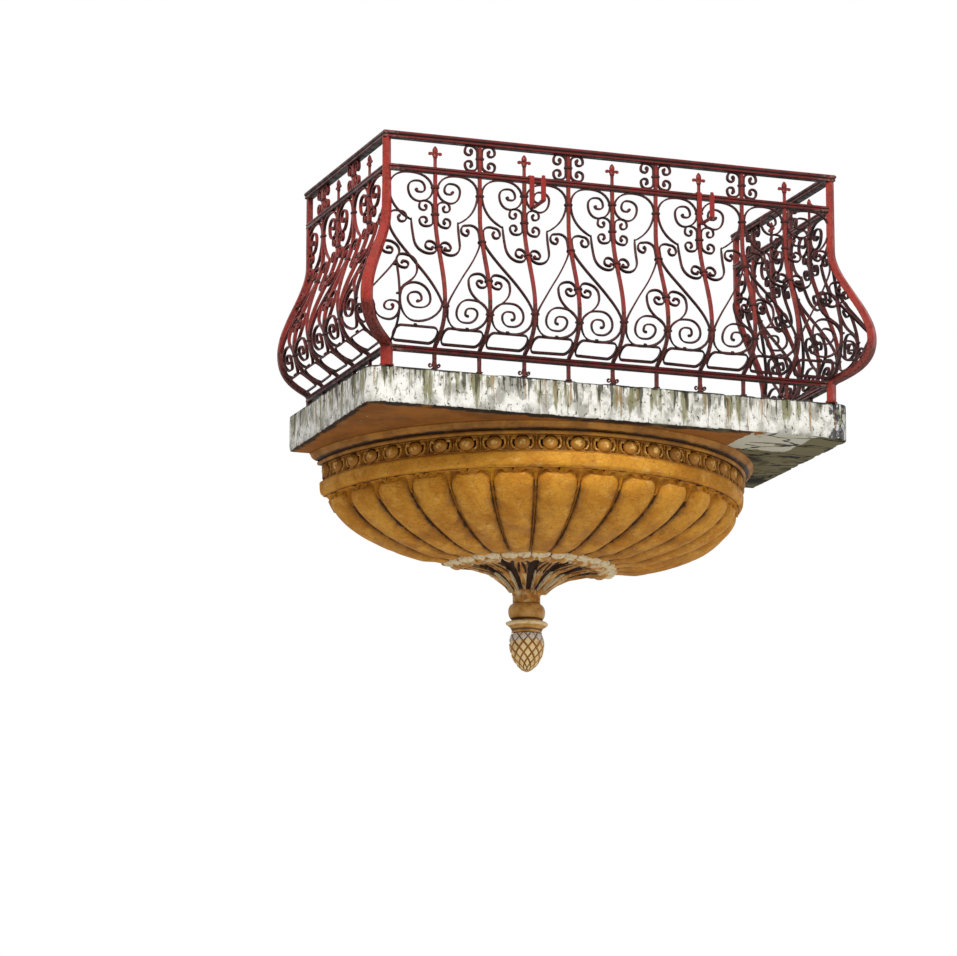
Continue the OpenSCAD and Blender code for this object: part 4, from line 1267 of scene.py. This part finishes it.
@dataclass
class HalfRound:
    """A moulding turned in front of the wall, its surface raised or cut by carving.

    The carving takes the part of the turn, the distance down the profile and the radius of each point, and gives its
    height, how deep it lies in a groove, where painted shade goes, and how much on a rim, where wear and on some pieces
    a painted highlight go.
    """

    name: str
    node: str
    profile: Array
    spans: int
    carve: Callable[[Array, Array, Array], Carving]
    top: float = math.inf
    bottom: float = -math.inf
    rough: float = 1.0

    def build(self, finish: Material) -> None:
        """Builds the moulding with a finish."""
        p = self.profile
        step = unit(np.gradient(p, axis=0), 1e-9)
        outward = columns(-step[:, 1], step[:, 0])
        u = np.linspace(0, 1, self.spans + 1)[None] * np.ones((len(p), 1))
        s = lengths(p)[:, None] * np.ones_like(u)
        height, groove, rim = self.carve(u, s, p[:, :1] * np.ones_like(u))
        away = smoothstep(0, 0.001, u * (1 - u))  # the face against the wall keeps its plain coat
        x, y = np.cos(-np.pi * u), np.sin(-np.pi * u)
        spot = columns(p[:, :1] * x, p[:, :1] * y, p[:, 1:])
        height = height + self.rough * Noise(len(self.name)).rough(spot.reshape(-1, 3), 38).reshape(u.shape)
        r = np.maximum(p[:, :1] + height * outward[:, :1], 0)
        rows = columns(r * x, r * y, np.clip(p[:, 1:] + height * outward[:, 1:], self.bottom, self.top))
        rows[:, [0, -1], 1] = 0.0
        centre, pad = np.zeros_like(rows[:1]), np.zeros_like(u[:1])
        skin = Skin()
        skin.grid(np.concatenate([centre + [0, 0, p[0, 1]], rows, centre + [0, 0, p[-1, 1]]]), caps=False,
                  groove=np.concatenate([pad, groove * away, pad]), rim=np.concatenate([pad, rim * away, pad]))
        fitted_piece(skin.piece(self.name, finish, 50), "corbel_stucco", self.node)


@dataclass
class Corbel:
    """The half-round bowl corbel: cove, egg band, fascia, gadroons, leaf cup, neck and pine cone."""

    radius: float = 930.0
    cove_z: float = -77.5
    egg_z: float = -127.5
    fascia_z: float = -193.5
    bowl_z: float = -263.5
    cup_z: float = -519.5
    neck_z: float = -669.5
    cone_z: float = -799.5
    tip_z: float = -969.5
    eggs: int = 25
    egg_size: Numbers = (34.0, 26.0, 29.5)  # half its width, how far it stands out, and half its height
    gadroons: int = 15
    gadroon_rise: float = 40.0
    cup_radius: float = 364.0
    leaves: int = 7

    def build(self, stucco: Material, shaded: Material, pale: Material, pendant: Material) -> None:
        """Builds every piece of the corbel.

        Args:
            stucco: The finish of the bowl and its fascia.
            shaded: The finish of the mouldings above them, darker as painted shade.
            pale: The finish of the leaf cup.
            pendant: The finish of the neck and the pine cone, with painted shade and painted highlights.
        """
        self._cove(shaded)
        self._egg_band(shaded)
        self._eggs(shaded)
        self._fascia(stucco)
        self._bowl(stucco)
        self._leaf_cup(pale)
        self._neck(pendant)
        self._cone(pendant)

    def _cove(self, finish: Material) -> None:
        """The hollow moulding under the slab, with the bead that runs over the eggs."""
        r, z, e = self.radius, self.cove_z, self.egg_z
        bead = np.radians(np.linspace(70, -90, 9))
        profile = joined(
            [[r + 58, z], [r + 58, z - 4], [r + 54, z - 6]],
            ([r + 50, z - 26], [r + 30, e + 20], [r + 18, e + 18], 12),
            columns(r + 17 + 7.5 * np.cos(bead), e + 9 + 8.5 * np.sin(bead)), [[r + 4, e]])

        def carve(u: Array, s: Array, radius: Array) -> Carving:
            """Chips the bead, paints shade into the hollow above it, and marks the bead for a painted highlight."""
            on_bead = within(s, (54, 62), (78, 84))
            chipped = np.sin(u * 431) * np.sin(u * 173 + 1) > 0.82
            return -2.5 * on_bead * chipped, 0.35 + 0.55 * smoothstep(18, 46, s) * (1 - on_bead), on_bead * 0.55

        HalfRound("cove_and_bead", "cove", densified(profile, 8), 360, carve).build(finish)

    def _egg_band(self, finish: Material) -> None:
        """The band of egg and dart: a pocket and a raised shell round each egg, and a dart between two."""
        r, z, f = self.radius, self.egg_z, self.fascia_z
        profile = densified(joined([[r + 4, z], [r - 2, z - 5], [r - 8, z - 7], [r - 8, f + 7], [r - 2, f + 4],
                                    [r - 3, f]]), 2.6)
        pitch = math.pi * (r - 8) / self.eggs
        middle = (z - f) / 2 + 4
        relief, dart_rise, ground = 13, 9, 4  # of shells and pockets, of darts, and how deep the rest lies

        def carve(u: Array, s: Array, radius: Array) -> Carving:
            """Raises shells and darts from the band."""
            x = (u * self.eggs % 1 - 0.5) * pitch
            y = s - middle
            ring = np.sqrt(x ** 2 + (y * np.where(y < 0, 1.06, 1.16)) ** 2)
            inside = within(s, (2, 7), (2 * middle - 5, 2 * middle))
            shell = within(ring, (38, 41), (48, 52))
            pocket = 1 - smoothstep(37, 40, ring)
            side = np.abs(np.abs(x) - pitch / 2)
            dart_half = np.interp(y, [-30, -14, -4, 6, 14, 28], [2.2, 2.6, 5.0, 5.0, 2.4, 2.0])
            dart = 1 - smoothstep(0.4, 1.0, side / dart_half)
            rest = 1 - np.clip(shell + pocket + dart, 0, 1)
            height = inside * (relief * shell - relief * pocket + dart_rise * dart - ground * rest)
            # the groove mark paints shade in the pockets and on the sunk ground, the rim mark a painted highlight on
            # the shells and darts
            return height, inside * np.clip(pocket + 0.5 * rest, 0, 1), inside * (0.7 * shell + 0.9 * dart)

        HalfRound("egg_and_dart_band", "egg_band", profile, self.eggs * 36, carve, rough=0.4).build(finish)

    def _eggs(self, finish: Material) -> None:
        """The eggs, each a little pointed below, set in the band's pockets."""
        skin, r, z = Skin(), self.radius - 4, (self.egg_z + self.fascia_z) / 2
        half, stand, high = self.egg_size
        b = np.radians(np.arange(0, 360, 15))[:, None]
        for i in range(self.eggs):
            angle = -math.pi * (i + 0.5) / self.eggs
            out = np.array([math.cos(angle), math.sin(angle), 0])
            along = np.array([-math.sin(angle), math.cos(angle), 0])
            rows = []
            for a in np.radians(np.linspace(-88, 88, 13)):
                size, narrow = math.cos(a), 1 - 0.05 * max(0.0, -math.sin(a))
                rows.append(out * r + along * np.cos(b) * half * size * narrow + out * np.sin(b) * stand * size
                            + [0, 0, z + high * math.sin(a)])
            grid = np.stack(rows)
            # painted shade round the egg's sides and a painted highlight on its front
            front = np.clip((np.linalg.norm(grid[..., :2], axis=-1) - r) / stand, 0, 1)
            skin.grid(grid, groove=0.9 * (1 - smoothstep(0.1, 0.6, front)), rim=0.8 * smoothstep(0.55, 1.0, front))
        fitted_piece(skin.piece("eggs_in_pockets", finish, 60), "corbel_stucco", "eggs_on_band")

    def _fascia(self, finish: Material) -> None:
        """The broad band under the eggs, slightly swollen, with a fillet over the gadroons."""
        r, z, b = self.radius, self.fascia_z, self.bowl_z
        profile = joined([[r - 1, z], [r + 2, z - 2]], ([r + 13, z - 5], [r + 14, z - 13], [r + 13, z - 22], 8),
                         ([r + 14, z - 44], [r + 8, b + 9], [r + 1, b + 8], 10),
                         [[r - 1, b + 6], [r - 4, b + 6], [r - 5, b]])

        def carve(u: Array, s: Array, radius: Array) -> Carving:
            """Leaves the band plain, with painted shade under its fillet and along its top, and worn along its upper
            edge.
            """
            dark = 0.8 * smoothstep(76, 84, s) + 0.5 * (1 - smoothstep(0, 5, s))
            return 0.0, dark, 0.45 * within(s, (4, 9), (12, 20))

        HalfRound("swollen_fascia", "fascia", densified(profile, 7), 300, carve, rough=1.4).build(finish)

    def _bowl(self, finish: Material) -> None:
        """The bowl's gadroons: round lobes with fingertip tops, small darts between them and deep grooves."""
        top, z, cup = self.radius - 44, self.bowl_z, self.cup_z
        deep = z - cup
        tip_start, tip_length, squareness = 26, 80, 2.4  # of the lobes' fingertip tops, down the profile
        profile = densified(joined([[self.radius - 8, z], [top + 4, z - 1]], bezier(
            [top, z - 2], [top - 40, z - deep * 0.58], [self.cup_radius + 190, cup + deep * 0.1],
            [self.cup_radius - 24, cup], 40)), 14)

        def carve(u: Array, s: Array, radius: Array) -> Carving:
            """Raises the lobes and the darts."""
            v = np.abs(2 * (u * self.gadroons % 1) - 1)
            t = np.clip((s - tip_start) / tip_length, 0.0001, 1)
            half = 0.97 * (1 - (1 - t) ** squareness) ** (1 / squareness)
            # the lobes get lower as they narrow, and run out into the leaf cup
            rise = self.gadroon_rise * (0.3 + 0.7 * radius / top) * (0.35 + 0.65 * smoothstep(400, 500, radius))
            lobe = np.clip(1 - (v / np.maximum(half, 1e-3)) ** 2.2, 0, 1) ** 0.5 * (0.3 + 0.7 * half ** 0.7)
            dart_half = 0.16 * np.clip(1 - (s - 24) / 80, 0, 1) + 1e-4
            dart = np.clip(1 - (1 - v) / dart_half, 0, 1) * smoothstep(18, 26, s)
            depth = np.maximum(rise * lobe, 20 * dart * (s < 104))
            # painted shade: soft brown over the lobes' flanks, dark in the grooves
            groove = (1 - np.clip(lobe, 0, 1)) ** 0.6 * (1 - 0.75 * smoothstep(0.05, 0.3, dart)) * smoothstep(14, 30, s)
            groove *= 0.55 + 0.45 * smoothstep(50, 110, s)
            return depth, groove, 0.35 * hump(s, 44, 16) * smoothstep(0.4, 0.7, lobe)

        HalfRound("gadrooned_lobes", "gadrooned_bowl", profile, self.gadroons * 36, carve, top=self.bowl_z,
                  rough=1.8).build(finish)

    def _leaf_cup(self, finish: Material) -> None:
        """The shallow cup of leaves under the bowl, with a scalloped rolled rim, on its round stem."""
        r, z, n = self.cup_radius, self.cup_z, self.neck_z
        turn = np.radians(np.linspace(88, -90, 13))
        lip = columns(r + 10 + 21 * np.cos(turn), z + 3 + 16 * np.sin(turn))
        profile = joined([[r - 60, z + 20], [r - 20, z + 19.5]], lip, [[r - 10, z - 13.5], [r - 30, z - 15]],
                         ([250, z - 22], [200, z - 28], [172, z - 40], 18),
                         ([128, z - 54], [92, z - 76], [66, z - 106], 14), [[62, z - 118], [62, n]])
        start, curls = float(lengths(profile)[1 + len(lip)]), 17

        def carve(u: Array, s: Array, radius: Array) -> Carving:
            """Cuts the gaps between leaves, their veins, and the scallops and curls of their rims."""
            v = 2 * (u * self.leaves % 1) - 1
            w = np.abs(v)
            far = np.clip((radius - 84) / (r - 124), 0, 1)  # from the stem, 0, to the leaves' tips, 1
            lip_zone = within(s, (30, 56), (start + 8, start + 30))
            past = smoothstep(start + 12, start + 34, s) * smoothstep(63, 76, radius)
            # the rim's curls are uneven, and each has three folds
            scallop = np.abs(np.sin(np.pi * (curls * u + 0.12 * np.sin(u * 40)))) ** 0.75
            fold = np.cos(2 * np.pi * 3 * curls * u + 1.5 * np.sin(u * 23))
            half = 0.36 + 0.60 * far ** 0.8 - 0.10 * np.abs(np.sin(far * 9.5)) * smoothstep(0.1, 0.4, far)
            body = 1 - smoothstep(half - 0.10, half, w)
            vein = np.cos(2 * np.pi * (2.1 * w + 1.5 * far + 0.15))
            rib = hump(v, 0, 0.06 + 0.08 * (1 - far))
            hollow = within(far, (0.25, 0.45), (0.93, 1.0))
            height = past * (body * (8 + 3.0 * vein + 7 * rib) - 9 * (1 - body) - 8 * hollow)
            height += lip_zone * (10 * scallop - 8 + 1.6 * fold * scallop + 3 * np.sin(u * 31))
            edge = hump(w, half - 0.07, 0.08)
            # the groove mark paints shade in the gaps between leaves and between the rim's curls, in the veins' troughs
            # and in the hollows
            groove = np.clip(past * ((1 - body) + 0.45 * smoothstep(0.3, -0.7, vein) * body + 0.6 * hollow * (1 - rib))
                             + lip_zone * (0.75 * (1 - smoothstep(0.1, 0.42, scallop))
                                           + 0.3 * smoothstep(-0.4, -1, fold)), 0, 1)
            rim = np.clip(lip_zone * (0.55 + 0.45 * scallop) + past * (1 - hollow) * (0.6 * edge + 0.4 * rib)
                          + past * 0.5 * edge, 0, 1)
            return height, groove, rim

        HalfRound("leaf_cup_carving", "leaf_cup", densified(profile, 8), self.leaves * 60, carve,
                  bottom=self.neck_z, rough=1.2).build(finish)

    def _neck(self, finish: Material) -> None:
        """The bulb and the moulded ring between the leaf cup and the pine cone."""
        n, c = self.neck_z, self.cone_z
        profile = joined([[58, n], [62, n - 2]], ([89, n - 12], [89, n - 62], [64, n - 76], 14),
                         [[62, n - 79], [80, n - 81]], ([96, n - 82], [98, n - 93], [90, n - 97], 7),
                         ([78, n - 102], [68, n - 112], [66, n - 124], 10), [[68, n - 127], [68, c]])

        def carve(u: Array, s: Array, radius: Array) -> Carving:
            """Leaves the turning plain, with painted shade in its quirks and a painted highlight on the ring and the
            bulb.
            """
            ring = smoothstep(0.86, 0.93, radius / 94) * smoothstep(88, 96, s)
            quirk = hump(s, 84, 9) + hump(s, 172, 8) + 0.5 * (1 - smoothstep(0, 12, s))
            return 0.0, np.clip(quirk, 0, 1), np.clip(ring + 0.3 * hump(s, 40, 18), 0, 1)

        HalfRound("neck_and_ring", "neck", densified(profile, 5), 64, carve, rough=0.5).build(finish)

    def _cone(self, finish: Material) -> None:
        """The pine cone: a net of diamond scales round an egg that hangs point down."""
        z, tip = self.cone_z, self.tip_z
        high = z - tip
        profile = joined([[60, z]], bezier([66, z - 1], [96, z - high * 0.28], [70, z - high * 0.86], [0.5, tip], 54))
        scales_round, scale_drop, scale_rise = 6, 50, 6.0

        def carve(u: Array, s: Array, radius: Array) -> Carving:
            """Cuts the crossed grooves and crowns each scale, with painted shade in the grooves and a painted highlight
            on the crowns.
            """
            around, along = u * scales_round, s / scale_drop
            near = np.maximum(*(np.abs((around + way * along) % 1 - 0.5) * 2 for way in (1, -1)))
            fade = smoothstep(2, 10, s) * smoothstep(2, 16, radius)
            return (fade * (scale_rise * (1 - smoothstep(0.72, 0.98, near)) - scale_rise) - 2.0 * (1 - fade),
                    fade * smoothstep(0.82, 0.95, near), 0.9 * (1 - smoothstep(0.6, 0.86, near)))

        HalfRound("pine_cone_scales", "pine_cone", profile, 192, carve, rough=0.6).build(finish)


# ---------------------------------------------------------------- studio

@dataclass
class Studio:
    """The camera at the photograph's viewing angle, soft light and a pale floor."""

    camera_at: tuple[float, float, float] = (-7.3342, -19.3988, -4.5843)
    yaw: float = 20.143
    pitch: float = 12.172
    focal_px: float = 4884.06
    image_width: float = 957.0
    sensor: float = 36.0
    sight: float = 300.0
    floor_z: float = -5.4
    floor_radii: tuple[float, ...] = (60000.0, 20000.0, 6000.0, 10.0)

    def build(self) -> None:
        """Makes the camera, the lamps, the world and the floor."""
        self._camera()
        self._light()
        self._floor()

    def _camera(self) -> None:
        """The camera, level from side to side and looking up at the balcony."""
        data = bpy.data.cameras.new("photo_camera")
        data.sensor_fit = "HORIZONTAL"
        data.sensor_width = self.sensor
        data.lens = self.sensor * self.focal_px / self.image_width
        data.clip_end = self.sight
        camera = bpy.data.objects.new("photo_camera", data)
        camera.location = self.camera_at
        camera.rotation_euler = (math.radians(90 + self.pitch), 0, math.radians(-self.yaw))
        bpy.context.scene.collection.objects.link(camera)
        bpy.context.scene.camera = camera

    def _light(self) -> None:
        """A large soft lamp up to the left of the front, a weaker one low on the right, and a white sky."""
        aim = Vector((0, -0.6, 0))
        for name, at, size, power in (("key", (-4.0, -8.5, 6.5), 4.0, 1150.0), ("fill", (7.0, -8.0, -1.0), 6.0, 200.0)):
            data = bpy.data.lights.new(name, "AREA")
            data.size = size
            data.energy = power
            lamp = bpy.data.objects.new(name, data)
            lamp.location = at
            lamp.rotation_euler = (aim - lamp.location).to_track_quat("-Z", "Y").to_euler()
            bpy.context.scene.collection.objects.link(lamp)
        world = bpy.data.worlds.new("white_sky")
        world.use_nodes = True
        tree = world.node_tree
        tree.nodes.clear()
        path = add_node(tree, "LightPath")
        seen = add_node(tree, "Math", {"operation": "MAXIMUM"}, {0: path.outputs["Is Camera Ray"],
                                                                1: path.outputs["Is Glossy Ray"]})
        strength = add_node(tree, "MapRange", {"To Min": 0.5, "To Max": 1.0}, {"Value": seen.outputs[0]})
        sky = add_node(tree, "Background", {"Color": (1, 1, 1, 1)}, {"Strength": strength.outputs[0]})
        add_node(tree, "OutputWorld", {}, {"Surface": sky.outputs[0]})
        bpy.context.scene.world = world
        bpy.context.scene.view_settings.view_transform = "Standard"

    def _floor(self) -> None:
        """A wide pale disc at street level."""
        angle = np.radians(np.arange(0, 360, 5))
        skin = Skin()
        skin.grid(np.stack([columns(r * np.cos(angle), r * np.sin(angle), self.floor_z / MM)
                            for r in self.floor_radii]), caps=False)
        finish = bpy.data.materials.new("Pale_matt_floor")
        finish.use_nodes = True
        shader = finish.node_tree.nodes["Principled BSDF"]
        shader.inputs["Base Color"].default_value = linear("#E9E8E4")
        shader.inputs["Roughness"].default_value = 0.9
        skin.piece("floor", finish)


def main() -> None:
    """Builds the scene piece by piece."""
    logging.basicConfig(level=logging.INFO, format="%(name)s: %(message)s")
    Studio().build()
    Railing().build(FORGED_IRON.build(), POST_IRON.build(), RAIL_IRON.build(), SHADED_SCROLL_IRON.build(), HOOK_IRON.build())
    Slab().build(SLAB_STONE.build(), SOFFIT_STONE.build(), DECK_STONE.build())
    Corbel().build(STUCCO.build(), SHADED_STUCCO.build(), PALE_STUCCO.build(), PENDANT_STUCCO.build())


if __name__ == "__main__":
    main()
